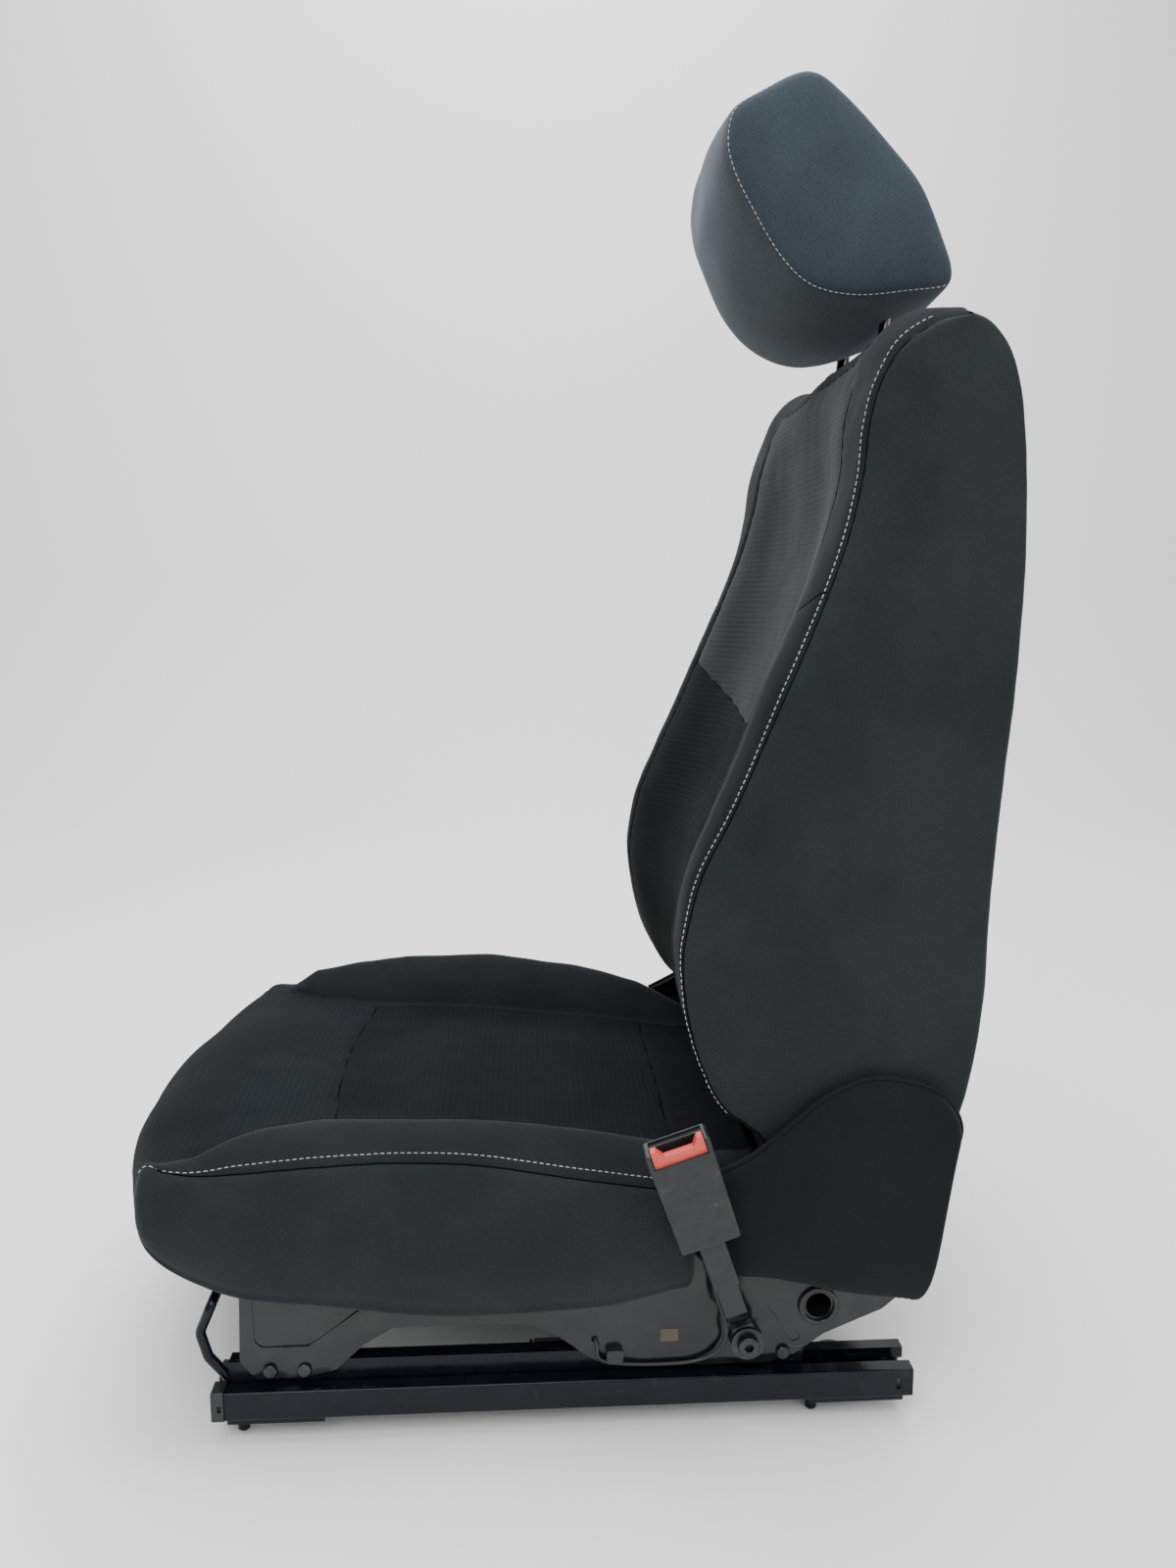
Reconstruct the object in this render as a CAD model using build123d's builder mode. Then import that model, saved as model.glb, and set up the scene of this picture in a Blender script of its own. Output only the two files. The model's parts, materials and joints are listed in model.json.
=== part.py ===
"""Front car seat on floor rails: it slides, reclines, and its headrest and belt buckle move.

Millimetres. The origin is the centre of the four floor bolt holes, on the underside of the rail feet.
+Z is up, -Y is the way the sitter faces, and +X is the inboard side, which carries the belt buckle.
Side profiles are drawn on planes across X, so their points read (Y, Z).
"""

import os
from math import cos, radians, sin

from build123d import *

os.makedirs("parts", exist_ok=True)

# ---- rails ----
RAIL_X = 217  # centre of each rail from the seat's centre plane
RAIL_HALF_LENGTH = 292.5
RAIL_HALF_WIDTH = 22
RAIL_BASE_Z = 5  # the feet are this thick
RAIL_TOP_Z = 30
SHEET = 2  # rail sheet thickness
SLOT_HALF = 9  # half the slot the slider stands up through
WEB_HALF = 7  # half the slider's width above the slot
FLANGE_OUT = 15.49  # outer face of the slider's turned-up flange
UPPER_FRONT_Y, UPPER_REAR_Y = -285, 200
UPPER_BASE_Z, UPPER_TOP_Z = 10, 48
BALL_R, BALL_OFFSET = 2.5, 17.45
BALL_ZS = (9.55, 25.45)
BALL_YS = [-180 + 18 * i for i in range(5)] + [114 + 18 * i for i in range(5)]
RUN_GAP = 0.05  # radial running clearance of a pin or shaft

BOLT_X, BOLT_Y, BOLT_R = 175, 240, 5.25
PEG_R, PEG_LENGTH = 5, 18

# ---- seat base ----
PLATE_X, PLATE_T = 224, 2.5  # side member: inner face and thickness
CUSHION_HALF = 252
COVER_T = 3  # cloth with its foam backing
UNDERSIDE_Z = 149  # underside of the cushion foam above its springs
POCKET_HALF = 232  # half the width of the hollow under the cushion
TUBE_R, TUBE_T = 13, 2
FRONT_TUBE = (-240, 118)
REAR_TUBE = (212, 84)
SPRING_ROD = (165, 141)
WIRE_HOLE = (21, 60)  # where the buckle's wire passes through the side member

# ---- recliner and backrest ----
PIVOT = (250, 205)  # backrest hinge axis, parallel to X
BACK_HALF = 235
TAIL_R = 76  # round lower end of the backrest about the pivot
DISC_R = 38
SHAFT_R = 5
PANEL_T = 4
FRAME_X, FRAME_T = 202, 3  # backrest side member: inner face and thickness

# ---- headrest ----
POST_X, POST_R, POST_TILT = 70, 6, 6
POST_Y, POST_Z = 279, 835  # a point on each post's axis
COLLAR_Z = 893  # underside of the post collars, on top of the backrest
POST_PLANE = Plane(origin=(0, POST_Y, POST_Z), x_dir=(1, 0, 0),
                   z_dir=(0, sin(radians(POST_TILT)), cos(radians(POST_TILT))))

# ---- release bar and buckle ----
BAR_R = 4.3
BAR_PIVOT = (-170, 24)
ANCHOR = (150, 57)  # bolt the buckle swings on
BUCKLE_TILT = 18.9  # degrees the buckle leans forward
BUCKLE_X = 261  # inner face of the buckle's housing
BUCKLE_BOTTOM, BUCKLE_TOP = 125, 213  # measured up the buckle from its anchor bolt
WIRE_R = 1.6


def write(part, label):
    """Labels one finished piece and writes its STEP file."""
    part.label = label
    export_step(part, f"parts/{label}.step")


def write_pair(part, stem):
    """Writes an inboard piece and its mirror image as two nodes."""
    write(part, f"{stem}_inboard")
    write(mirror(part, about=Plane.YZ), f"{stem}_outboard")


def write_group(part, label):
    """Writes an inboard piece and its mirror image together as one node."""
    with BuildPart() as group:
        add(part)
        mirror(about=Plane.YZ)
    write(group.part, label)


def side(x):
    """Plane across X at x, whose points read (Y, Z) and which extrudes towards +X."""
    return Plane.YZ.offset(x)


def along(y):
    """Plane across Y at y, whose points read (X, Z) and which extrudes towards -Y."""
    return Plane.XZ.offset(-y)


def post_y(z):
    """Y of a headrest post's axis at height z."""
    return POST_Y + (z - POST_Z) * sin(radians(POST_TILT)) / cos(radians(POST_TILT))


def buckle_plane(x):
    """Plane across X at x, through the anchor bolt, with its second axis up along the buckle."""
    tilt = radians(BUCKLE_TILT)
    return Plane(origin=(x, *ANCHOR), x_dir=(0, cos(tilt), sin(tilt)), z_dir=(1, 0, 0))


# ================= floor rails =================
with BuildPart() as lower_rail:
    with BuildSketch(along(RAIL_HALF_LENGTH)):
        height = RAIL_TOP_Z - RAIL_BASE_Z
        with Locations((RAIL_X, RAIL_BASE_Z + height / 2)):
            Rectangle(2 * RAIL_HALF_WIDTH, height)
            Rectangle(2 * RAIL_HALF_WIDTH - 2 * SHEET, height - 2 * SHEET, mode=Mode.SUBTRACT)
        with Locations((RAIL_X - SLOT_HALF - 1, RAIL_TOP_Z - 5), (RAIL_X + SLOT_HALF + 1, RAIL_TOP_Z - 5)):
            Rectangle(SHEET, 10)  # lips turned down beside the slot
        with Locations((RAIL_X, RAIL_TOP_Z - 5)):
            Rectangle(2 * SLOT_HALF, 10, mode=Mode.SUBTRACT)
    extrude(amount=2 * RAIL_HALF_LENGTH)
    corners = lower_rail.edges().filter_by(Axis.Y)
    fillet(corners.group_by(Axis.X)[0] + corners.group_by(Axis.X)[-1], 1.6)
    with Locations((RAIL_X - 18.75, 0, RAIL_TOP_Z - 1)):
        with GridLocations(0, 12, 1, 21):
            Box(4, 7, SHEET + 1, mode=Mode.SUBTRACT)  # notches for the lock teeth
    with Locations((RAIL_X + RAIL_HALF_WIDTH, 280, 17), (RAIL_X - RAIL_HALF_WIDTH, 280, 17)):
        Box(6, 4, 10, mode=Mode.SUBTRACT)  # tool slots near the rear end
write_pair(lower_rail.part, "lower_rail")

with BuildPart() as foot:
    with BuildSketch():
        for near_y, far_y in ((-285, -205), (205, 285)):
            with Locations((RAIL_X, (near_y + far_y) / 2)):
                Rectangle(2 * RAIL_HALF_WIDTH - 6, far_y - near_y)
        for bolt_y in (-BOLT_Y, BOLT_Y):
            with Locations((BOLT_X + 15, bolt_y)):
                Rectangle(30, 36)
            with Locations((BOLT_X, bolt_y)):
                Circle(18)
                Circle(BOLT_R, mode=Mode.SUBTRACT)
    extrude(amount=RAIL_BASE_Z)
write_group(foot.part, "rail_feet")

with BuildPart() as peg:
    for peg_y in (-276, 210):
        with BuildSketch():
            with Locations((RAIL_X, peg_y)):
                Circle(PEG_R)
        extrude(amount=-PEG_LENGTH)
    chamfer(peg.faces().sort_by(Axis.Z)[:2].edges(), 2)
write_group(peg.part, "locating_pegs")

with BuildPart() as end_cap:
    with Locations((RAIL_X, -291.75, RAIL_BASE_Z + 13.3)):
        Box(2 * RAIL_HALF_WIDTH + 3.2, 10.5, 26.6)
    fillet(end_cap.edges().filter_by(Axis.Y), 2)
    fillet(end_cap.faces().sort_by(Axis.Y)[0].edges(), 1.2)
    with Locations((RAIL_X, -289.5, (RAIL_BASE_Z + RAIL_TOP_Z) / 2)):
        Box(2 * RAIL_HALF_WIDTH + 0.1, 6.02, RAIL_TOP_Z - RAIL_BASE_Z + 0.1, mode=Mode.SUBTRACT)
    with Locations((RAIL_X, -292, 26)):
        Box(14, 12, 18, mode=Mode.SUBTRACT)  # notch the release bar leaves through
    with Locations((RAIL_X + RAIL_HALF_WIDTH, -290, 17)):
        Box(6, 3, 6, mode=Mode.SUBTRACT)  # window of the snap catch
write_group(end_cap.part, "rail_end_caps")

with BuildPart() as stop:
    with Locations((RAIL_X, 66, RAIL_BASE_Z + SHEET + 3.5)):
        Box(8, 6, 7)
    fillet(stop.faces().sort_by(Axis.Z)[-1].edges(), 1)
write_group(stop.part, "rail_end_stops")

# ================= sliders =================
with BuildPart() as upper_rail:
    with BuildSketch(along(UPPER_REAR_Y)) as upper_section:
        with BuildLine():
            Polyline(
                (RAIL_X, UPPER_TOP_Z), (RAIL_X + WEB_HALF, UPPER_TOP_Z),
                (RAIL_X + WEB_HALF, UPPER_BASE_Z + SHEET),
                (RAIL_X + FLANGE_OUT - SHEET, UPPER_BASE_Z + SHEET), (RAIL_X + FLANGE_OUT - SHEET, 25),
                (RAIL_X + FLANGE_OUT - 1.2, 25), (RAIL_X + FLANGE_OUT, 23.8),
                (RAIL_X + FLANGE_OUT, UPPER_BASE_Z + 1.2), (RAIL_X + FLANGE_OUT - 1.2, UPPER_BASE_Z),
                (RAIL_X + WEB_HALF - SHEET, UPPER_BASE_Z), (RAIL_X + WEB_HALF - SHEET, UPPER_TOP_Z - SHEET),
                (RAIL_X, UPPER_TOP_Z - SHEET), close=True)
        make_face()
        mirror(about=Plane.YZ.offset(RAIL_X))
    extrude(amount=UPPER_REAR_Y - UPPER_FRONT_Y)
    with Locations((RAIL_X, -133, 20)):
        Box(2 * (WEB_HALF - SHEET), 6, 22)  # stop block that meets the lower rail's stop
    with Locations((RAIL_X, -133, 12)):
        Box(2 * (WEB_HALF - SHEET), 6, 8)
    with BuildSketch(side(RAIL_X - 10)):
        with Locations(BAR_PIVOT):
            Circle(2.02)
    extrude(amount=20, mode=Mode.SUBTRACT)
write_pair(upper_rail.part, "upper_rail")

with BuildPart() as bar_pin:
    with BuildSketch(side(RAIL_X - WEB_HALF)):
        with Locations(BAR_PIVOT):
            Circle(2)
    extrude(amount=2 * WEB_HALF)
write_group(bar_pin.part, "release_bar_pins")

with BuildPart() as balls:
    for ball_z in BALL_ZS:
        for ball_y in BALL_YS:
            with Locations((RAIL_X - BALL_OFFSET, ball_y, ball_z), (RAIL_X + BALL_OFFSET, ball_y, ball_z)):
                Sphere(BALL_R)
write_group(balls.part, "rail_balls")

with BuildPart() as cages:
    cage_length = BALL_YS[-1] - BALL_YS[0] + 12
    for ball_z in BALL_ZS:
        for side_sign in (-1, 1):
            with Locations((RAIL_X + side_sign * (BALL_OFFSET + 0.5), sum(BALL_YS) / len(BALL_YS), ball_z)):
                Box(2.6, cage_length, 1.6)
    for ball_z in BALL_ZS:
        for ball_y in BALL_YS:
            with Locations((RAIL_X - BALL_OFFSET, ball_y, ball_z), (RAIL_X + BALL_OFFSET, ball_y, ball_z)):
                Sphere(BALL_R + RUN_GAP, mode=Mode.SUBTRACT)
write_group(cages.part, "ball_cages")

# ================= rail locks =================
LATCH_X, LATCH_Z, LATCH_HALF = 204.5, 40, 30

with BuildPart() as latch_bracket:
    with BuildSketch(along(LATCH_HALF + 8)):
        with Locations((LATCH_X, LATCH_Z)):
            Circle(3)
    extrude(amount=2 * LATCH_HALF + 16)
    for tab_y in (LATCH_HALF + 4, -LATCH_HALF - 1):
        with BuildSketch(along(tab_y)):
            with Locations((LATCH_X + 0.75, LATCH_Z)):
                Rectangle(9.5, 9)
        extrude(amount=3)
write_group(latch_bracket.part, "latch_brackets")

with BuildPart() as latch:
    with BuildSketch(along(LATCH_HALF)):
        with Locations((LATCH_X, LATCH_Z)):
            Circle(5)
        with Locations((LATCH_X - 5, LATCH_Z + 1)):
            Rectangle(6, 2.5)
        with Locations((197.25, 36.5)):
            Rectangle(2.5, 11.5)
        with Locations((LATCH_X, LATCH_Z)):
            Circle(3 + RUN_GAP, mode=Mode.SUBTRACT)
    extrude(amount=2 * LATCH_HALF)
    with Locations((197.25, 0, 32)):
        with GridLocations(0, 12, 1, 6):
            Box(4, 6.5, 6, mode=Mode.SUBTRACT)  # gaps between the teeth
write_pair(latch.part, "rail_latch")

# ================= release bar =================
with BuildPart() as release_bar:
    with BuildLine():
        FilletPolyline(
            (RAIL_X, BAR_PIVOT[0] + 5, BAR_PIVOT[1]), (RAIL_X, -282, BAR_PIVOT[1]), (RAIL_X, -303, 50),
            (RAIL_X, -309, 72), (RAIL_X, -297, 100), (-RAIL_X, -297, 100), (-RAIL_X, -309, 72),
            (-RAIL_X, -303, 50), (-RAIL_X, -282, BAR_PIVOT[1]), (-RAIL_X, BAR_PIVOT[0] + 5, BAR_PIVOT[1]),
            radius=10)
    with BuildSketch(along(BAR_PIVOT[0] + 5)):
        with Locations((RAIL_X, BAR_PIVOT[1])):
            Circle(BAR_R)
    sweep()
    with BuildSketch(side(-RAIL_X - 10)):
        with Locations(BAR_PIVOT):
            Circle(2 + RUN_GAP)
    extrude(amount=2 * RAIL_X + 20, mode=Mode.SUBTRACT)
write(release_bar.part, "release_bar")

# ================= seat base frame =================
SIDE_OUTLINE = (
    (-272, 147), (-275, 50), (-262, 34), (-223, 34), (-196, 40), (-172, 62), (-148, 76), (-34, 76),
    (-9, 63), (14, 45), (30, 35), (99, 33), (167, 33), (192, 40), (217, 58), (267, 79), (289, 98),
    (292, 160), (230, 168), (190, 158), (110, 147))

with BuildPart() as side_member:
    with BuildSketch(side(PLATE_X)) as outline:
        with BuildLine():
            Polyline(*SIDE_OUTLINE, close=True)
        make_face()
        fillet(outline.vertices().group_by(Axis.Z)[:6], 8)
        with Locations(PIVOT):
            Circle(44)
            Circle(SHAFT_R + RUN_GAP, mode=Mode.SUBTRACT)
        with Locations(REAR_TUBE):
            Circle(TUBE_R, mode=Mode.SUBTRACT)
        with Locations(ANCHOR):
            Circle(6, mode=Mode.SUBTRACT)
        with Locations(WIRE_HOLE):
            Circle(WIRE_R + 1.4, mode=Mode.SUBTRACT)
    extrude(amount=PLATE_T)
    with BuildSketch(side(PLATE_X + 1.3)) as recess:  # pressed recess in the front foot
        with BuildLine():
            Polyline((-264, 130), (-262, 62), (-218, 62), (-168, 98), (-150, 130), close=True)
        make_face()
        fillet(recess.vertices(), 9)
    extrude(amount=PLATE_T, mode=Mode.SUBTRACT)
    with BuildSketch(side(PLATE_X + 1.5)):  # diagonal bead between the bolt and the cross tube
        with Locations(Location((182, 72), -58)):
            SlotOverall(46, 9)
    extrude(amount=PLATE_T, mode=Mode.SUBTRACT)
write_pair(side_member.part, "side_member")

with BuildPart() as collar:
    with BuildSketch(side(PLATE_X + PLATE_T)):
        with Locations(REAR_TUBE):
            Circle(TUBE_R + 4)
            Circle(TUBE_R, mode=Mode.SUBTRACT)
    extrude(amount=2.5)
    fillet(collar.faces().sort_by(Axis.X)[-1].edges(), 1)
write_group(collar.part, "tube_collars")

RIVETS = [(-250, 41), (-222, 41), (182, 42)]
with BuildPart() as rivets:
    with BuildSketch(side(PLATE_X + PLATE_T)):
        with Locations(*RIVETS):
            Circle(6)
    extrude(amount=3)
    fillet(rivets.faces().sort_by(Axis.X)[-3:].edges(), 1.5)
write_group(rivets.part, "rail_rivets")

with BuildPart() as front_tube:
    with BuildSketch(side(-PLATE_X)):
        with Locations(FRONT_TUBE):
            Circle(TUBE_R)
            Circle(TUBE_R - TUBE_T, mode=Mode.SUBTRACT)
    extrude(amount=2 * PLATE_X)
write(front_tube.part, "front_cross_tube")

with BuildPart() as rear_tube:
    with BuildSketch(side(-PLATE_X - PLATE_T)):
        with Locations(REAR_TUBE):
            Circle(TUBE_R)
            Circle(TUBE_R - TUBE_T, mode=Mode.SUBTRACT)
    extrude(amount=2 * (PLATE_X + PLATE_T))
write(rear_tube.part, "rear_cross_tube")

with BuildPart() as spring_rod:
    with BuildSketch(side(-PLATE_X)):
        with Locations(SPRING_ROD):
            Circle(4)
    extrude(amount=2 * PLATE_X)
write(spring_rod.part, "cushion_spring_rod")

with BuildPart() as seat_pan:
    with BuildSketch(side(-PLATE_X)) as pan_section:
        with BuildLine():
            FilletPolyline((-318, 128), (-312, 144), (-140, 144), (-118, 138), (-64, 138), radius=6)
        trace(line_width=1.8)
    extrude(amount=2 * PLATE_X)
    with Locations((0, -225, 140)):
        with GridLocations(110, 90, 3, 2):
            Cylinder(22, 12, mode=Mode.SUBTRACT)
write(seat_pan.part, "seat_pan")


def strand(length, swing, pitch, wire_r):
    """A zigzag spring wire that runs along +X from the origin, in the XY plane."""
    turns = int(length / pitch) - 1
    start = (length - turns * pitch) / 2
    points = [(0, 0)]
    for i in range(turns + 1):
        offset_y = swing if i % 2 else -swing
        previous_y = points[-1][1]
        points += [(start + i * pitch, previous_y), (start + i * pitch, offset_y)]
    points += [(length - start / 3, points[-1][1]), (length - start / 3, 0), (length, 0)]
    with BuildPart() as wire:
        with BuildLine():
            FilletPolyline(*points, radius=min(pitch, swing) * 0.32)
        with BuildSketch(Plane.YZ):
            Circle(wire_r)
        sweep()
    return wire.part


CUSHION_STRAND = strand(224, 16, 24, 1.8)
with BuildPart() as cushion_springs:
    for spring_x in (-135, -45, 45, 135):
        with Locations(Location((spring_x, -63, 141), (0, 0, 90))):
            add(CUSHION_STRAND)
write(cushion_springs.part, "cushion_springs")


# ================= cushion =================
CUSHION_CROWN = [(-258, 205), (-251, 232), (-238, 254), (-212, 266), (-185, 262), (-100, 234), (0, 220),
                 (100, 228), (185, 247), (212, 250), (238, 240), (251, 223), (258, 200)]
CUSHION_FRONT = [(252, -296), (247, -322), (232, -343), (205, -359), (100, -392), (40, -401)]


def cushion_solid(inset):
    """The whole cushion, drawn this far inside its outer skin."""
    with BuildPart() as body:
        with BuildSketch(side(-CUSHION_HALF + inset)):
            with BuildLine():
                top = Polyline((178, 196), (130, 211), (90, 228), (17, 250), (-65, 264), (-150, 268),
                             (-220, 263), (-283, 252), (-340, 240), (-382, 212), (-401, 178), (-388, 148),
                             (-350, 127))
                under = Polyline(top @ 1, (-263, 108), (-200, 100), (-122, 93), (14, 92), (60, 100), (124, 118))
                Polyline(under @ 1, (190, 140), top @ 0)
            make_face()
            offset(amount=-inset, kind=Kind.INTERSECTION)
        extrude(amount=2 * (CUSHION_HALF - inset))
        with BuildSketch(Plane.XY.offset(60)):
            with BuildLine():
                front = Polyline(*[(-x, y) for x, y in CUSHION_FRONT], *CUSHION_FRONT[::-1])
                Polyline(front @ 1, (CUSHION_HALF, 240), (-CUSHION_HALF, 240), front @ 0)
            make_face()
            offset(amount=-inset, kind=Kind.INTERSECTION)
        extrude(amount=240, mode=Mode.INTERSECT)
        with BuildSketch(along(240)):  # rounds the shoulders off and hollows the middle
            with BuildLine():
                crown = Polyline(*[(x - inset * x / CUSHION_HALF, z - inset) for x, z in CUSHION_CROWN])
                Polyline(crown @ 1, (300, 200), (300, 300), (-300, 300), (-300, 200), crown @ 0)
            make_face()
        extrude(amount=660, mode=Mode.SUBTRACT)
        with BuildSketch(side(-300)):  # room for the backrest's round lower end
            with Locations(PIVOT):
                Circle(TAIL_R + 7 + inset)
        extrude(amount=600, mode=Mode.SUBTRACT)
        for bay_x in (-228 - 8, 228 + 8):  # room for the side members and recliners
            with Locations((bay_x, 200 + 106 - inset, 150)):
                Box(44 + 2 * inset, 400, 400, mode=Mode.SUBTRACT)
    return body.part


CUSHION_OUTER, CUSHION_LINING = cushion_solid(0), cushion_solid(COVER_T)
CUSHION_FILLING = cushion_solid(COVER_T + 0.4)

with BuildPart() as cushion_foam:
    add(CUSHION_FILLING)
    with Locations((0, -60, UNDERSIDE_Z - 100)):
        Box(2 * POCKET_HALF, 540, 200, mode=Mode.SUBTRACT)
write(cushion_foam.part, "cushion_foam")

with BuildPart() as cushion_cover:
    add(CUSHION_OUTER)
    add(CUSHION_LINING, mode=Mode.SUBTRACT)
    with Locations((0, -60, UNDERSIDE_Z - 100)):
        Box(2 * POCKET_HALF, 540, 200, mode=Mode.SUBTRACT)
write(cushion_cover.part, "cushion_cover")

with BuildPart() as front_trim:
    with BuildSketch(side(-180)) as trim_section:
        with BuildLine():
            Polyline((-349, 124), (-353, 116), (-340, 109), (-322, 110), (-322, 120), close=True)
        make_face()
        fillet(trim_section.vertices(), 2)
    extrude(amount=360)
write(front_trim.part, "cushion_front_trim")

with BuildPart() as wing:
    with BuildSketch(side(236)) as wing_outline:
        with BuildLine():
            crown = Spline((110, 206), (128, 214), (148, 226), (187, 258), (218, 283), (246, 292),
                           (273, 290), (298, 281), (317, 262), (320, 231))
            Polyline(crown @ 1, (303, 122), (289, 98), (223, 109), (142, 125), (126, 129), crown @ 0)
        make_face()
        fillet(wing_outline.vertices().sort_by(Axis.Z)[:2], 6)
    extrude(amount=20)
    chamfer(wing.faces().sort_by(Axis.X)[-1].edges(), 5)
    with BuildSketch(side(230)):
        with Locations(PIVOT):
            Circle(SHAFT_R + 3)
    extrude(amount=40, mode=Mode.SUBTRACT)
write_pair(wing.part, "recliner_wing")

# ================= recliners =================
with BuildPart() as recliner_base:
    with BuildSketch(side(220.5)) as base_outline:
        with Locations(PIVOT):
            Circle(DISC_R + 4)
        with BuildLine():
            Polyline((214, 190), (214, 120), (286, 120), (286, 190), close=True)
        make_face()
        with Locations(PIVOT):
            Circle(SHAFT_R + RUN_GAP, mode=Mode.SUBTRACT)
    extrude(amount=3.5)
write_group(recliner_base.part, "recliner_bases")

with BuildPart() as disc_fixed:
    with BuildSketch(side(213)):
        with Locations(PIVOT):
            Circle(DISC_R)
            Circle(SHAFT_R + RUN_GAP, mode=Mode.SUBTRACT)
    extrude(amount=7.5)
    chamfer(disc_fixed.faces().sort_by(Axis.X)[0].edges().sort_by(SortBy.RADIUS)[-1:], 2)
write_group(disc_fixed.part, "recliner_fixed_discs")

with BuildPart() as disc_moving:
    with BuildSketch(side(FRAME_X + FRAME_T)):
        with Locations(PIVOT):
            Circle(DISC_R)
            Circle(SHAFT_R + RUN_GAP, mode=Mode.SUBTRACT)
            with PolarLocations(26, 6):
                Circle(3.5, mode=Mode.SUBTRACT)
    extrude(amount=7.7)
write_group(disc_moving.part, "recliner_moving_discs")

# ================= backrest frame =================
with BuildPart() as back_member:
    with BuildSketch(side(FRAME_X)) as member_outline:
        with BuildLine():
            Polyline((224, 235), (236, 420), (276, 700), (291, 815), (324, 815), (330, 700), (318, 420),
                     (290, 215), (250, 170), (214, 205), close=True)
        make_face()
        with Locations(PIVOT):
            Circle(44)
    extrude(amount=FRAME_T)
    for hole in ((268, 330, 16), (282, 450, 17), (294, 570, 15), (302, 680, 13)):
        with BuildSketch(side(FRAME_X)):
            with Locations(hole[:2]):
                Circle(hole[2])
        extrude(amount=FRAME_T, mode=Mode.SUBTRACT)
    with BuildSketch(side(FRAME_X - 12)):  # stiffening lip along the rear edge
        with BuildLine():
            Polyline((288, 240), (315, 420), (327, 700), (321, 812), (324, 812), (330, 700), (318, 420),
                     (291, 240), close=True)
        make_face()
    extrude(amount=12)
    with BuildSketch(side(FRAME_X - 20)):
        with Locations(PIVOT):
            Circle(SHAFT_R + RUN_GAP)
    extrude(amount=40, mode=Mode.SUBTRACT)
write_pair(back_member.part, "back_side_member")

TOP_TUBE = (301.2, 812)
with BuildPart() as top_tube:
    with BuildSketch(side(-FRAME_X)):
        with Locations(TOP_TUBE):
            Circle(TUBE_R)
            Circle(TUBE_R - TUBE_T, mode=Mode.SUBTRACT)
    extrude(amount=2 * FRAME_X)
    with BuildSketch(POST_PLANE):
        with Locations((POST_X, 0), (-POST_X, 0)):
            Circle(POST_R + 6)
    extrude(amount=45, both=True, mode=Mode.SUBTRACT)
write(top_tube.part, "back_top_tube")

with BuildPart() as sleeves:
    with BuildSketch(POST_PLANE.offset(-45)):
        with Locations((POST_X, 0), (-POST_X, 0)):
            Circle(POST_R + 5.9)
            Circle(POST_R + 3.6, mode=Mode.SUBTRACT)
    extrude(amount=85)
write(sleeves.part, "headrest_sleeves")

with BuildPart() as guides:
    with BuildSketch(POST_PLANE.offset(-44)):
        with Locations((POST_X, 0), (-POST_X, 0)):
            Circle(POST_R + 3.5)
    extrude(amount=44 + COLLAR_Z - POST_Z)
    with BuildSketch(POST_PLANE.offset(COLLAR_Z - POST_Z)) as collars:
        with Locations((POST_X, 0), (-POST_X, 0)):
            RectangleRounded(34, 26, 8)
    extrude(amount=8)
    fillet(guides.faces().sort_by(Axis.Z)[-2:].edges(), 1.5)
    with BuildSketch(POST_PLANE.offset(-60)):
        with Locations((POST_X, 0), (-POST_X, 0)):
            Circle(POST_R + RUN_GAP)
    extrude(amount=140, mode=Mode.SUBTRACT)
    with BuildSketch(POST_PLANE.offset(COLLAR_Z - POST_Z + 1.5)):  # pocket of the release button
        with Locations((POST_X + 14, 0)):
            Rectangle(10, 12)
    extrude(amount=5, mode=Mode.SUBTRACT)
write(guides.part, "headrest_guides")

with BuildPart() as headrest_button:
    with BuildSketch(POST_PLANE.offset(COLLAR_Z - POST_Z + 1.6)):
        with Locations((POST_X + 16.5, 0)):
            Rectangle(6, 11.8)
    extrude(amount=4.8)
    fillet(headrest_button.faces().sort_by(Axis.X)[-1].edges(), 1)
write(headrest_button.part, "headrest_release_button")

with BuildPart() as lower_cross:
    with BuildSketch(side(-FRAME_X)):
        with Locations((270, 262)):
            Circle(9)
            Circle(7.5, mode=Mode.SUBTRACT)
    extrude(amount=2 * FRAME_X)
write(lower_cross.part, "back_lower_tube")

BACK_STRAND = strand(2 * FRAME_X, 16, 26, 1.8)
with BuildPart() as back_springs:
    for spring_y, spring_z in ((240, 330), (245, 410), (257, 490), (268, 570), (279, 650)):
        with Locations(Location((-FRAME_X, spring_y, spring_z), (82, 0, 0))):
            add(BACK_STRAND)
write(back_springs.part, "back_springs")


# ================= backrest =================
BACK_SECTIONS = ((200, 122, 10), (262, 118, 26), (330, 92, 42), (420, 92, 46), (520, 131, 44),
                 (640, 182, 38), (740, 214, 30), (840, 230, 16), (880, 243, 8), (915, 262, 1))
BACK_SHOULDERS = ((236, 886), (222, 898), (200, 906), (165, 910), (140, 905), (100, 891))


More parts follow.
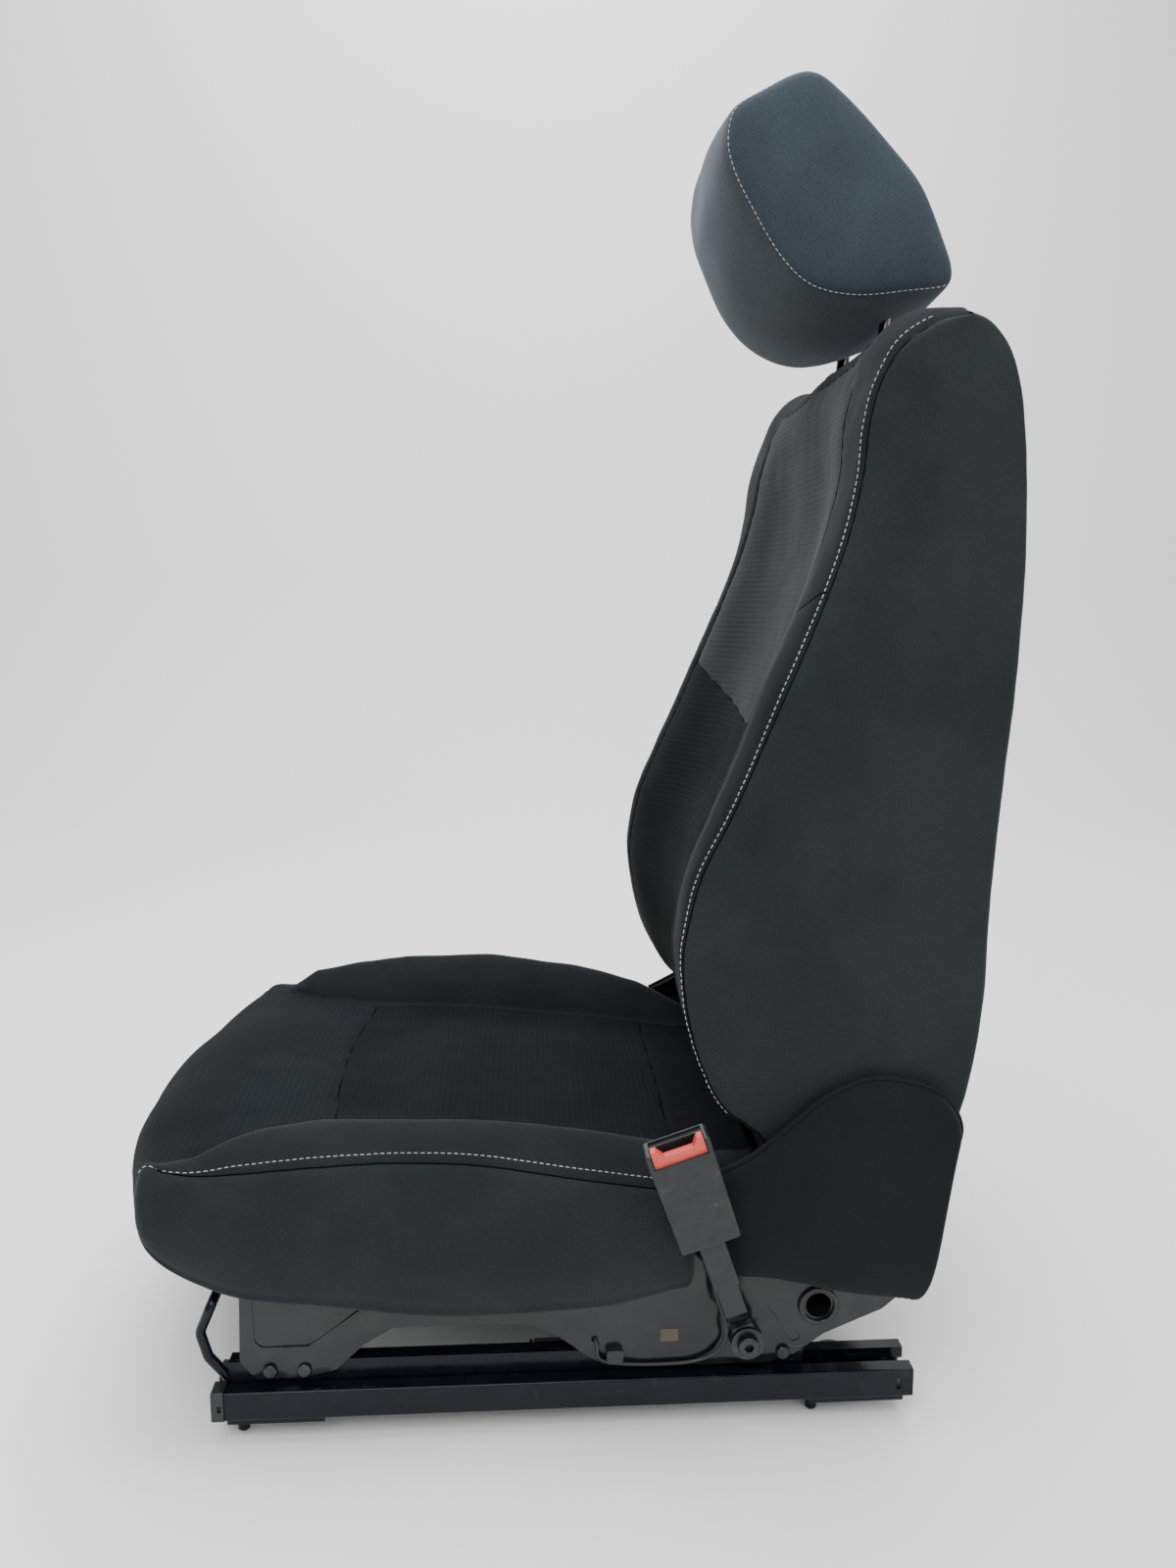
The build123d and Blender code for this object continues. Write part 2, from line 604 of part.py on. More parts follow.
def back_solid(inset):
    """The whole backrest, drawn this far inside its outer skin."""
    with BuildPart() as body:
        with BuildSketch(side(-BACK_HALF + inset)):
            with BuildLine():
                tail = CenterArc(PIVOT, TAIL_R, -205, 205)
                rear = Polyline(tail @ 1, (334, 290), (343, 408), (347, 506), (352, 609), (356, 690), (355, 762),
                              (350, 815), (343, 858), (332, 888), (318, 904))
                top = Polyline(rear @ 1, (300, 910), (282, 907), (262, 896), (246, 878), (234, 852), (225, 812),
                             (221, 768),
                             (209, 716), (183, 644), (154, 575), (127, 511), (104, 464), (93, 424), (89, 388),
                             (93, 343), (105, 300), (119, 264))
                Line(top @ 1, tail @ 0)
            make_face()
            offset(amount=-inset, kind=Kind.INTERSECTION)
        extrude(amount=2 * (BACK_HALF - inset))
        for height, crest, depth in BACK_SECTIONS:  # rounds the side bolsters and hollows the middle
            with BuildSketch(Plane.XY.offset(height)):
                with BuildLine():
                    half = [(BACK_HALF + 4, crest + 34), (BACK_HALF - 3, crest + 16), (218, crest + 3),
                            (200, crest), (172, crest + 0.15 * depth), (95, crest + 0.8 * depth)]
                    points = [(-x, y) for x, y in half] + [(0, crest + depth)] + half[::-1]
                    crown = Polyline(*[(x - inset * x / BACK_HALF, y + inset) for x, y in points])
                    Polyline(crown @ 1, (300, crest + 30), (300, crest - 90), (-300, crest - 90),
                             (-300, crest + 30), crown @ 0)
                make_face()
        loft(ruled=True, mode=Mode.SUBTRACT)
        with BuildSketch(Plane.XZ):  # rounds the shoulders and lowers the middle under the headrest
            with BuildLine():
                right = [(x, z - inset) for x, z in BACK_SHOULDERS]
                crest = Polyline(*right, *[(-x, z) for x, z in right[::-1]])
                Polyline(crest @ 1, (-300, 880 - inset), (-300, 990), (300, 990), (300, 880 - inset), crest @ 0)
            make_face()
        extrude(amount=400, both=True, mode=Mode.SUBTRACT)
    return body.part


BACK_OUTER, BACK_LINING = back_solid(0), back_solid(COVER_T)
BACK_CORE, BACK_FILLING = back_solid(PANEL_T), back_solid(PANEL_T + 0.6)

with BuildPart() as back_foam:
    add(BACK_FILLING)
    with BuildSketch(side(-208)):
        with BuildLine():
            Polyline((205, 205), (226, 420), (264, 700), (284, 840), (400, 840), (400, 205), close=True)
        make_face()
        with Locations(PIVOT):
            Circle(52)
    extrude(amount=416, mode=Mode.SUBTRACT)
    for bay_x in (-242, 200):
        with BuildSketch(side(bay_x)):
            with Locations(PIVOT):
                Circle(88)
        extrude(amount=42, mode=Mode.SUBTRACT)
    with BuildSketch(POST_PLANE.offset(-200)):
        with Locations((POST_X, 0), (-POST_X, 0)):
            Circle(POST_R + 8)
    extrude(amount=300, mode=Mode.SUBTRACT)
write(back_foam.part, "back_foam")

with BuildPart() as back_cover:
    add(BACK_OUTER)
    add(BACK_LINING, mode=Mode.SUBTRACT)
    with Locations((0, 350, 542)):
        Box(424, 100, 616, mode=Mode.SUBTRACT)
    with BuildSketch(POST_PLANE.offset(20)):
        with Locations((POST_X, 0), (-POST_X, 0)):
            Circle(POST_R + 4)
    extrude(amount=100, mode=Mode.SUBTRACT)
    with BuildSketch(side(-208)):  # open below, where the frame passes down to the pivot
        with BuildLine():
            Polyline(PIVOT, (PIVOT[0] + 200, PIVOT[1] + 90), (PIVOT[0] + 200, 60), (PIVOT[0] - 60, 60),
                     close=True)
        make_face()
    extrude(amount=416, mode=Mode.SUBTRACT)
    for bay_x in (-BACK_HALF + COVER_T, 205):  # room for the recliners beside the frame
        with BuildSketch(side(bay_x)):
            with Locations(PIVOT):
                Circle(TAIL_R + 14)
        extrude(amount=27, mode=Mode.SUBTRACT)
    with BuildSketch(side(-BACK_HALF - 1)):
        with Locations(PIVOT):
            Circle(SHAFT_R + 3)
    extrude(amount=2 * BACK_HALF + 2, mode=Mode.SUBTRACT)
write(back_cover.part, "back_cover")

with BuildPart() as back_panel:
    add(BACK_OUTER)
    add(BACK_CORE, mode=Mode.SUBTRACT)
    with Locations((0, 350, 547)):
        Box(420, 96, 602, mode=Mode.INTERSECT)
write(back_panel.part, "back_panel")

# ================= headrest =================
HEAD_SIDE = ((205, 1105), (163, 1091), (140, 1075), (138, 1045), (153, 1008), (184, 960), (214, 940), (250, 934),
             (292, 936), (330, 941), (331, 975), (310, 1022), (283, 1066), (248, 1096))
HEAD_MIDDLE = ((205, 1112), (160, 1097), (134, 1078), (130, 1040), (134, 1003), (156, 952), (188, 913), (226, 899),
               (268, 906), (322, 936), (331, 975), (311, 1024), (285, 1070), (250, 1101))
HEAD_CENTRE = (235, 1010)


def headrest_solid(inset):
    """The headrest, drawn this far inside its outer skin."""
    with BuildPart() as body:
        for x, scale, middle in ((-118, 0.8, 0), (-104, 0.97, 0), (0, 1, 1), (104, 0.97, 0), (118, 0.8, 0)):
            with BuildSketch(side(x * (1 - inset / 118))):
                with BuildLine():
                    shape = HEAD_MIDDLE if middle else HEAD_SIDE
                    size = scale - inset / 70
                    Spline(*[(HEAD_CENTRE[0] + size * (y - HEAD_CENTRE[0]),
                              HEAD_CENTRE[1] + size * (z - HEAD_CENTRE[1])) for y, z in shape], periodic=True)
                make_face()
        loft()
    return body.part


HEAD_OUTER, HEAD_LINING = headrest_solid(0), headrest_solid(COVER_T)
HEAD_FILLING = headrest_solid(COVER_T + 0.4)

with BuildPart() as headrest_rod:
    with BuildLine():
        low_z, high_z = 700, 988
        FilletPolyline((-POST_X, post_y(low_z), low_z), (-POST_X, post_y(high_z), high_z),
                       (POST_X, post_y(high_z), high_z), (POST_X, post_y(low_z), low_z), radius=18)
    with BuildSketch(Plane(origin=(-POST_X, post_y(low_z), low_z), z_dir=POST_PLANE.z_dir, x_dir=(1, 0, 0))):
        Circle(POST_R)
    sweep()
    for notch_z in (765, 785):  # lock notches on the inboard post
        with Locations((POST_X + POST_R, post_y(notch_z), notch_z)):
            Box(3, 2 * POST_R, 3, mode=Mode.SUBTRACT)
write(headrest_rod.part, "headrest_rod")

with BuildPart() as headrest_core:
    with BuildSketch(POST_PLANE.offset(118)):
        with Locations((0, -6)):
            RectangleRounded(2 * POST_X + 36, 30, 12)
    extrude(amount=56)
    with BuildSketch(POST_PLANE.offset(60)):
        with Locations((POST_X, 0), (-POST_X, 0)):
            Circle(POST_R)
    extrude(amount=88, mode=Mode.SUBTRACT)
    add(headrest_rod.part, mode=Mode.SUBTRACT)
write(headrest_core.part, "headrest_core")

with BuildPart() as headrest_foam:
    add(HEAD_FILLING)
    with BuildSketch(POST_PLANE.offset(117)):
        with Locations((0, -6)):
            RectangleRounded(2 * POST_X + 38, 32, 13)
    extrude(amount=58, mode=Mode.SUBTRACT)
    with BuildSketch(POST_PLANE.offset(40)):
        with Locations((POST_X, 0), (-POST_X, 0)):
            Circle(POST_R + 1)
    extrude(amount=90, mode=Mode.SUBTRACT)
write(headrest_foam.part, "headrest_foam")

with BuildPart() as headrest_cover:
    add(HEAD_OUTER)
    add(HEAD_LINING, mode=Mode.SUBTRACT)
    with BuildSketch(POST_PLANE.offset(40)):
        with Locations((POST_X, 0), (-POST_X, 0)):
            Circle(POST_R + 1)
    extrude(amount=90, mode=Mode.SUBTRACT)
write(headrest_cover.part, "headrest_cover")

# ================= recline lever =================
with BuildPart() as recline_shaft:
    with BuildSketch(side(-272)):
        with Locations(PIVOT):
            Circle(SHAFT_R)
    extrude(amount=272 + PLATE_X + PLATE_T + 3)
write(recline_shaft.part, "recline_shaft")

with BuildPart() as recline_lever:
    with BuildSketch(side(-272)):
        with Locations(PIVOT):
            Circle(20)
        with BuildLine():
            FilletPolyline((250, 223), (190, 214), (120, 184), (108, 168), (118, 158), (182, 178), (250, 187),
                           radius=6, close=True)
        make_face()
    extrude(amount=13)
    fillet(recline_lever.faces().sort_by(Axis.X)[0].edges(), 3)
    with BuildSketch(side(-273)):
        with Locations(PIVOT):
            Circle(SHAFT_R)
    extrude(amount=20, mode=Mode.SUBTRACT)
write(recline_lever.part, "recline_lever")

# ================= buckle =================
STRAP_X = BUCKLE_X + 6
with BuildPart() as anchor_bolt:
    with BuildSketch(side(PLATE_X - 8)):
        with Locations(ANCHOR):
            Circle(6)
    extrude(amount=15.5)
    with BuildSketch(side(231.5)):
        with Locations(ANCHOR):
            Circle(8)
    extrude(amount=3)
    with BuildSketch(side(234.6)):
        with Locations(ANCHOR):
            Circle(14)
    extrude(amount=2)
    with BuildSketch(side(234.6)):
        with Locations(ANCHOR):
            Circle(9)
    extrude(amount=8)
    fillet(anchor_bolt.faces().sort_by(Axis.X)[-1].edges(), 2)
    with BuildSketch(side(238)):
        with Locations(ANCHOR):
            RegularPolygon(4.2, 6)
    extrude(amount=10, mode=Mode.SUBTRACT)
write(anchor_bolt.part, "buckle_anchor_bolt")

with BuildPart() as anchor_spacer:
    with BuildSketch(side(PLATE_X + PLATE_T)):
        with Locations(ANCHOR):
            Circle(13)
            Circle(6, mode=Mode.SUBTRACT)
    extrude(amount=4.95)
write(anchor_spacer.part, "buckle_anchor_spacer")

with BuildPart() as buckle_strap:
    with BuildSketch(buckle_plane(200)):
        Circle(14)
        with Locations((0, 98)):
            Rectangle(18, 196)
    extrude(amount=100)
    tilt_plane = Plane(buckle_plane(0).origin, x_dir=(1, 0, 0), z_dir=-buckle_plane(0).x_dir)
    with BuildSketch(tilt_plane.offset(-20)):
        with BuildLine():
            Polyline((231.52, -20), (231.52, 17), (STRAP_X, 52), (STRAP_X, 190), (STRAP_X + 3, 190),
                     (STRAP_X + 3, 51), (234.52, 16), (234.52, -20), close=True)
        make_face()
    extrude(amount=40, mode=Mode.INTERSECT)
    with BuildSketch(buckle_plane(225)):
        Circle(8 + RUN_GAP)
    extrude(amount=12, mode=Mode.SUBTRACT)
write(buckle_strap.part, "buckle_strap")

with BuildPart() as buckle_sleeve:
    with BuildSketch(buckle_plane(STRAP_X - 3.5)):
        with Locations((0, 101.5)):
            Rectangle(22, 46)
    extrude(amount=10)
    fillet(buckle_sleeve.edges().filter_by(Axis((0, 0, 0), buckle_plane(0).y_dir)), 2.5)
    with BuildSketch(buckle_plane(STRAP_X - 0.1)):
        with Locations((0, 101.5)):
            Rectangle(18.2, 60)
    extrude(amount=3.2, mode=Mode.SUBTRACT)
write(buckle_sleeve.part, "buckle_sleeve")

with BuildPart() as housing:
    with BuildSketch(buckle_plane(BUCKLE_X)):
        with BuildLine():
            Polyline((-24.5, BUCKLE_BOTTOM), (24.5, BUCKLE_BOTTOM), (26.5, BUCKLE_TOP), (-26.5, BUCKLE_TOP),
                     close=True)
        make_face()
    extrude(amount=26)
    fillet(housing.edges().filter_by(Axis.X), 2.5)
    fillet(housing.faces().filter_by(Axis.X).edges(), 1.6)
    with BuildSketch(buckle_plane(BUCKLE_X + 2.5)):
        with Locations((0, 175)):
            Rectangle(44, 90)
    extrude(amount=21, mode=Mode.SUBTRACT)
    with BuildSketch(buckle_plane(BUCKLE_X + 2.5)):  # block that closes the top beside the slot
        with Locations((0, BUCKLE_TOP - 9)):
            Rectangle(44, 14)
    extrude(amount=6)
    with BuildSketch(buckle_plane(BUCKLE_X + 14)):
        with Locations((0, BUCKLE_TOP)):
            Rectangle(44.6, 26)
    extrude(amount=14, mode=Mode.SUBTRACT)
    with BuildSketch(buckle_plane(STRAP_X - 0.1)):
        with Locations((0, 130)):
            Rectangle(18.2, 40)
    extrude(amount=3.2, mode=Mode.SUBTRACT)
write(housing.part, "buckle_housing")

with BuildPart() as buckle_frame:
    with BuildSketch(buckle_plane(STRAP_X - 2.2)):
        with Locations((0, 165)):
            Rectangle(30, 50)
        with Locations((0, 172)):
            Rectangle(16, 12, mode=Mode.SUBTRACT)
    extrude(amount=2)
write(buckle_frame.part, "buckle_frame")

with BuildPart() as buckle_latch:
    with BuildSketch(buckle_plane(STRAP_X + 4)):
        with Locations((0, 151)):
            Rectangle(24, 16)
    extrude(amount=5)
    fillet(buckle_latch.edges().filter_by(Axis.X), 2)
write(buckle_latch.part, "buckle_latch")

with BuildPart() as buckle_spring:
    spring_base = buckle_plane(STRAP_X + 13).origin + buckle_plane(0).y_dir * 160
    with BuildLine(Plane(origin=spring_base, z_dir=buckle_plane(0).y_dir)):
        coil = Helix(pitch=4, height=24, radius=2.6)
    with BuildSketch(Plane(origin=coil @ 0, z_dir=coil % 0)):
        Circle(0.5)
    sweep(is_frenet=True)
write(buckle_spring.part, "buckle_spring")

with BuildPart() as buckle_button:
    with BuildSketch(buckle_plane(BUCKLE_X + 14.6)) as button_outline:
        with BuildLine():
            Polyline((-21.6, 190), (21.6, 190), (21.6, 214), (17, 214), (12, 207), (-12, 207), (-17, 214),
                     (-21.6, 214), close=True)
        make_face()
        fillet(button_outline.vertices(), 1)
    extrude(amount=8.6)
write(buckle_button.part, "buckle_button")

with BuildPart() as buckle_wire:
    with BuildLine():
        FilletPolyline((229, 133, 100), (229, 134, 66), (229, 122, 44), (229, 96, 36.5), (229, 50, 37),
                       (229, 22, 41), (229, *WIRE_HOLE), (212, *WIRE_HOLE), radius=4.5)
    with BuildSketch(Plane(origin=(229, 133, 100), z_dir=(0, 1, -34))):
        Circle(WIRE_R)
    sweep()
write(buckle_wire.part, "buckle_wire")

with BuildPart() as wire_clip:
    with BuildSketch(side(PLATE_X + PLATE_T)):
        with Locations((38, 46)):
            RectangleRounded(14, 12, 3)
    extrude(amount=6)
    with BuildSketch(side(PLATE_X + PLATE_T)):
        with Locations((38, 39)):
            Rectangle(20, 7)
    extrude(amount=4.3, mode=Mode.SUBTRACT)
write(wire_clip.part, "wire_clip")
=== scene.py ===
import json
import math

import bmesh
import bpy
import numpy as np
from mathutils import Matrix, Vector, noise


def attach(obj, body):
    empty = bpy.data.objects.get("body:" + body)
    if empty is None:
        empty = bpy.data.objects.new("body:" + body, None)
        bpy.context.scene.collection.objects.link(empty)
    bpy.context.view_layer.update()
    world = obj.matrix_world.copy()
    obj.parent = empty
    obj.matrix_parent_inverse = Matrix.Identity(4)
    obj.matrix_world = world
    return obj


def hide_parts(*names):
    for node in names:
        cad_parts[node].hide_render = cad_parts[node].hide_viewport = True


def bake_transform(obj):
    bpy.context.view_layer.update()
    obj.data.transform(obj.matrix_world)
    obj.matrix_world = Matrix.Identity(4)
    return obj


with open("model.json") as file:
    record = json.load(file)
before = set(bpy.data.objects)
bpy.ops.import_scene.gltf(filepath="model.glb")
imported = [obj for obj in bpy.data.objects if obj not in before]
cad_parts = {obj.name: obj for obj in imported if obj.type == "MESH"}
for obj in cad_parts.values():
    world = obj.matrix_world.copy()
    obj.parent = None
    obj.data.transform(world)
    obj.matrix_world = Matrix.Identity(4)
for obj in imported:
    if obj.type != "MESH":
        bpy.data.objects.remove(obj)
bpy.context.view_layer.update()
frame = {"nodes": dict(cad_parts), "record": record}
NODES = frame["nodes"]
MM = 0.001  # outlines and grids are in millimetres until a mesh is made
SIDES = ((1, "inboard"), (-1, "outboard"))


# ---------------------------------------------------------------- shader node helpers
def new_material(name):
    mat = bpy.data.materials.new(name)
    mat.use_nodes = True
    tree = mat.node_tree
    return mat, tree, tree.nodes["Principled BSDF"]


def node(tree, kind, inputs=None, **settings):
    made = tree.nodes.new(kind)
    for key, value in settings.items():
        setattr(made, key, value)
    for key, value in (inputs or {}).items():
        made.inputs[key].default_value = value
    return made


def link(tree, a, out, b, into):
    tree.links.new(a.outputs[out], b.inputs[into])


def noise_texture(tree, source, scale, detail, roughness=0.5, out="Object"):
    made = node(tree, "ShaderNodeTexNoise", {"Scale": scale, "Detail": detail, "Roughness": roughness})
    link(tree, source, out, made, "Vector")
    return made


def stretched_noise(tree, coords, stretch, detail, roughness=0.5):
    """Noise drawn out into threads or scratches."""
    turned = node(tree, "ShaderNodeMapping", {"Scale": stretch})
    link(tree, coords, "Object", turned, "Vector")
    return noise_texture(tree, turned, 1.0, detail, roughness, out="Vector")


def ramp(tree, source, low, high, low_color, high_color):
    made = node(tree, "ShaderNodeValToRGB")
    made.color_ramp.elements[0].position = low
    made.color_ramp.elements[1].position = high
    made.color_ramp.elements[0].color = (*low_color, 1)
    made.color_ramp.elements[1].color = (*high_color, 1)
    link(tree, source, "Fac", made, "Fac")
    return made


def tint(tree, base, out, tone, amount):
    """Multiplies one colour by another."""
    made = node(tree, "ShaderNodeMix", {"Factor": amount}, data_type="RGBA", blend_type="MULTIPLY")
    link(tree, base, out, made, "A")
    link(tree, tone, "Color", made, "B")
    return made


def overlay(tree, base, out, mask, color):
    """Lays a plain colour over another one where the mask is bright."""
    made = node(tree, "ShaderNodeMix", {"B": (*color, 1)}, data_type="RGBA")
    link(tree, mask, "Color", made, "Factor")
    link(tree, base, out, made, "A")
    return made


def add(tree, first, out, second):
    made = node(tree, "ShaderNodeMath", operation="ADD")
    link(tree, first, out, made, 0)
    link(tree, second, "Fac", made, 1)
    return made


def bump(tree, source, out, strength, distance, under=None):
    """A bump from a height, laid over another bump if there is one."""
    made = node(tree, "ShaderNodeBump", {"Strength": strength, "Distance": distance})
    link(tree, source, out, made, "Height")
    if under:
        link(tree, under, "Normal", made, "Normal")
    return made


def grey(level):
    return (level, level, level)


def cloth_material(name, dark, light, rib_axis=None, rib_pitch=0.0028, rough=0.92, sheen=0.0, spec=0.22):
    """Woven seat cloth: crossed threads, soft blotches and lint, with ribs along one axis if asked."""
    mat, tree, bsdf = new_material(name)
    coords = node(tree, "ShaderNodeTexCoord")
    blotch = noise_texture(tree, coords, 9.0, 6.0, 0.6)
    lint = noise_texture(tree, coords, 900.0, 2.0, 0.7)
    fleck = ramp(tree, lint, 0.35, 0.7, grey(0.72), grey(1.3))
    color = tint(tree, ramp(tree, blotch, 0.3, 0.75, dark, light), "Color", fleck, 1.0)
    warp = stretched_noise(tree, coords, (240, 240, 1400), 2.0)
    weft = stretched_noise(tree, coords, (900, 900, 200), 2.0)
    height = add(tree, add(tree, warp, "Fac", weft), "Value", lint)
    if rib_axis:
        wave = {"Scale": 0.5 / rib_pitch / math.pi, "Distortion": 0.35, "Detail": 1.0, "Detail Scale": 2.0}
        rib = node(tree, "ShaderNodeTexWave", wave, wave_type="BANDS", bands_direction=rib_axis)
        link(tree, coords, "Object", rib, "Vector")
        ribbed = node(tree, "ShaderNodeMath", {1: 0.9}, operation="MULTIPLY_ADD")
        link(tree, rib, "Fac", ribbed, 0)
        link(tree, height, "Value", ribbed, 2)
        height = ribbed
        # painted shade and highlight of the ribs: darker colour in the rib valleys, lighter on the crests
        color = tint(tree, color, "Result", ramp(tree, rib, 0.1, 0.9, grey(0.78), grey(1.14)), 0.8)
    link(tree, color, "Result", bsdf, "Base Color")
    crease = bump(tree, noise_texture(tree, coords, 14.0, 3.0, 0.45), "Fac", 0.18, 0.006)
    weave = bump(tree, height, "Value", 0.4, 0.0006, under=crease)
    link(tree, weave, "Normal", bsdf, "Normal")
    bsdf.inputs["Roughness"].default_value = rough
    bsdf.inputs["Specular IOR Level"].default_value = spec
    bsdf.inputs["Sheen Weight"].default_value = sheen
    bsdf.inputs["Sheen Roughness"].default_value = 0.45
    bsdf.inputs["Sheen Tint"].default_value = (0.75, 0.85, 1.0, 1)
    return mat


def hard_material(name, dark, light, rough_low, rough_high, metallic=0.0, grain=0.2, scratches=0.0, dust=0.0,
                  scale=30.0, shine=0.5, dents=0.0):
    """Painted metal, plated metal or moulded plastic, with grain, and scratches, dust and dents if asked."""
    mat, tree, bsdf = new_material(name)
    coords = node(tree, "ShaderNodeTexCoord")
    wear = noise_texture(tree, coords, scale, 8.0, 0.65)
    color, out = ramp(tree, wear, 0.35, 0.7, dark, light), "Color"
    if scratches:
        lines = stretched_noise(tree, coords, (260.0, 18.0, 420.0), 4.0, 0.8)
        mask = ramp(tree, lines, 0.66, 0.74, grey(0), grey(scratches))
        color, out = overlay(tree, color, out, mask, (0.35, 0.35, 0.36)), "Result"
    if dust:
        specks = noise_texture(tree, coords, 55.0, 9.0, 0.8)
        mask = ramp(tree, specks, 0.58, 0.78, grey(0), grey(dust))
        color, out = overlay(tree, color, out, mask, (0.17, 0.14, 0.12)), "Result"
    link(tree, color, out, bsdf, "Base Color")
    gloss = {"From Min": 0.3, "From Max": 0.75, "To Min": rough_low, "To Max": rough_high}
    rough = node(tree, "ShaderNodeMapRange", gloss)
    link(tree, wear, "Fac", rough, "Value")
    link(tree, rough, "Result", bsdf, "Roughness")
    pressed = None
    if dents:
        pressed = bump(tree, noise_texture(tree, coords, 24.0, 1.5, 0.4), "Fac", dents, 0.012)
    grained = bump(tree, noise_texture(tree, coords, 700.0, 3.0), "Fac", grain, 0.0004, under=pressed)
    link(tree, grained, "Normal", bsdf, "Normal")
    bsdf.inputs["Specular IOR Level"].default_value = shine
    bsdf.inputs["Metallic"].default_value = metallic
    return mat


# ---------------------------------------------------------------- materials
SIDE_CLOTH = cloth_material("side_cloth", (0.0078, 0.0104, 0.0116), (0.0158, 0.0196, 0.0216), sheen=0.1)
STRIP_CLOTH = cloth_material("strip_cloth", (0.0064, 0.0082, 0.0092), (0.0128, 0.0155, 0.017),
                             sheen=0.03, spec=0.14)
INSERT_CLOTH = cloth_material("insert_cloth", (0.0107, 0.0132, 0.0139), (0.0198, 0.0232, 0.0242),
                              rib_axis="Z", rib_pitch=0.0027, sheen=0.05)
LOWER_CLOTH = cloth_material("lower_insert_cloth", (0.0053, 0.0072, 0.0073), (0.0112, 0.014, 0.0143),
                             rib_axis="Z", rib_pitch=0.0027, spec=0.08)
SEAT_CLOTH = cloth_material("seat_cloth", (0.0038, 0.0055, 0.0065), (0.0079, 0.0103, 0.0119),
                            rib_axis="Y", spec=0.08)
FRONT_CLOTH = cloth_material("front_cloth", (0.0047, 0.0068, 0.0083), (0.0097, 0.0126, 0.0149),
                             rib_axis="Y", spec=0.1)
RAMP_CLOTH = cloth_material("ramp_cloth", (0.003, 0.0042, 0.0047), (0.0066, 0.0082, 0.0088),
                            rib_axis="X", rib_pitch=0.004, spec=0.08)
HEAD_CLOTH = cloth_material("head_cloth", (0.02, 0.029, 0.0375), (0.0305, 0.0425, 0.0535), sheen=0.14)
HEAD_FRONT = cloth_material("head_front_cloth", (0.024, 0.029, 0.0315), (0.038, 0.0445, 0.0475), sheen=0.16)
WING_CLOTH = cloth_material("wing_cloth", (0.0028, 0.0042, 0.005), (0.0056, 0.0076, 0.0088), sheen=0.04)
PIPING = cloth_material("piping_cloth", (0.0035, 0.0042, 0.0046), (0.007, 0.0082, 0.009), sheen=0.02)
BACK_CLOTH = cloth_material("rear_cloth", (0.008, 0.01, 0.011), (0.015, 0.0178, 0.0192), sheen=0.06)
THREAD = cloth_material("topstitch_thread", (0.33, 0.34, 0.34), (0.52, 0.53, 0.53), sheen=0.1, rough=0.7)
SEAM_SHADE = cloth_material("seam_shade", (0.0008, 0.0009, 0.001), (0.0016, 0.0018, 0.002), spec=0.05)
DARK_THREAD = cloth_material("dark_thread", (0.03, 0.032, 0.034), (0.06, 0.062, 0.065), sheen=0.1, rough=0.7)
RAIL_PAINT = hard_material("rail_paint", (0.0014, 0.0028, 0.0052), (0.0034, 0.006, 0.0098), 0.12, 0.3,
                           grain=0.05, scratches=0.25, dust=0.12, shine=0.22, dents=0.12)
FRAME_PAINT = hard_material("frame_paint", (0.0042, 0.0052, 0.0058), (0.0105, 0.0118, 0.0128), 0.1, 0.24,
                            grain=0.06, scratches=0.2, dust=0.12, scale=14.0, shine=0.42, dents=0.9)
PLASTIC = hard_material("black_plastic", (0.006, 0.007, 0.008), (0.013, 0.014, 0.015), 0.38, 0.6,
                        grain=0.5, scratches=0.12)
BUCKLE_PLASTIC = hard_material("buckle_plastic", (0.007, 0.009, 0.0092), (0.018, 0.022, 0.0222), 0.22, 0.46,
                               grain=0.3, scratches=0.3, dust=0.3, scale=60.0, shine=0.35, dents=0.08)
RED_PLASTIC = hard_material("red_plastic", (0.52, 0.045, 0.04), (0.66, 0.085, 0.07), 0.32, 0.5)
PLATED = hard_material("zinc_plate", (0.12, 0.12, 0.13), (0.24, 0.24, 0.25), 0.28, 0.5,
                       metallic=1.0, scratches=0.3)
BOLT_STEEL = hard_material("bolt_steel", (0.03, 0.031, 0.034), (0.07, 0.07, 0.074), 0.25, 0.45,
                           metallic=0.9, scratches=0.3)
POST_STEEL = hard_material("post_chrome", (0.06, 0.062, 0.068), (0.1, 0.103, 0.11), 0.1, 0.2,
                           metallic=1.0, grain=0.03)
SPRING = hard_material("spring_wire", (0.1, 0.1, 0.11), (0.2, 0.2, 0.21), 0.3, 0.5, metallic=1.0)
NYLON = hard_material("nylon", (0.4, 0.4, 0.38), (0.55, 0.55, 0.52), 0.4, 0.6)
WIRE = hard_material("wire_sleeve", (0.008, 0.009, 0.01), (0.018, 0.019, 0.02), 0.4, 0.6, grain=0.3)
PAPER = hard_material("paper_patch", (0.07, 0.062, 0.045), (0.1, 0.09, 0.066), 0.7, 0.9,
                      grain=0.3, shine=0.2)

SLOT_FINISHES = {"rail_steel": RAIL_PAINT, "frame_steel": FRAME_PAINT, "spring_steel": SPRING,
                 "bright_steel": POST_STEEL, "machined_steel": PLATED, "black_plastic": PLASTIC,
                 "red_plastic": RED_PLASTIC, "seat_cloth": SIDE_CLOTH, "panel_cloth": BACK_CLOTH,
                 "foam": SIDE_CLOTH, "white_plastic": NYLON, "rubber": WIRE}
NODE_FINISHES = {"buckle_housing": BUCKLE_PLASTIC, "buckle_sleeve": BUCKLE_PLASTIC,
                 "buckle_anchor_bolt": BOLT_STEEL, "buckle_strap": FRAME_PAINT, "rail_rivets": BOLT_STEEL}


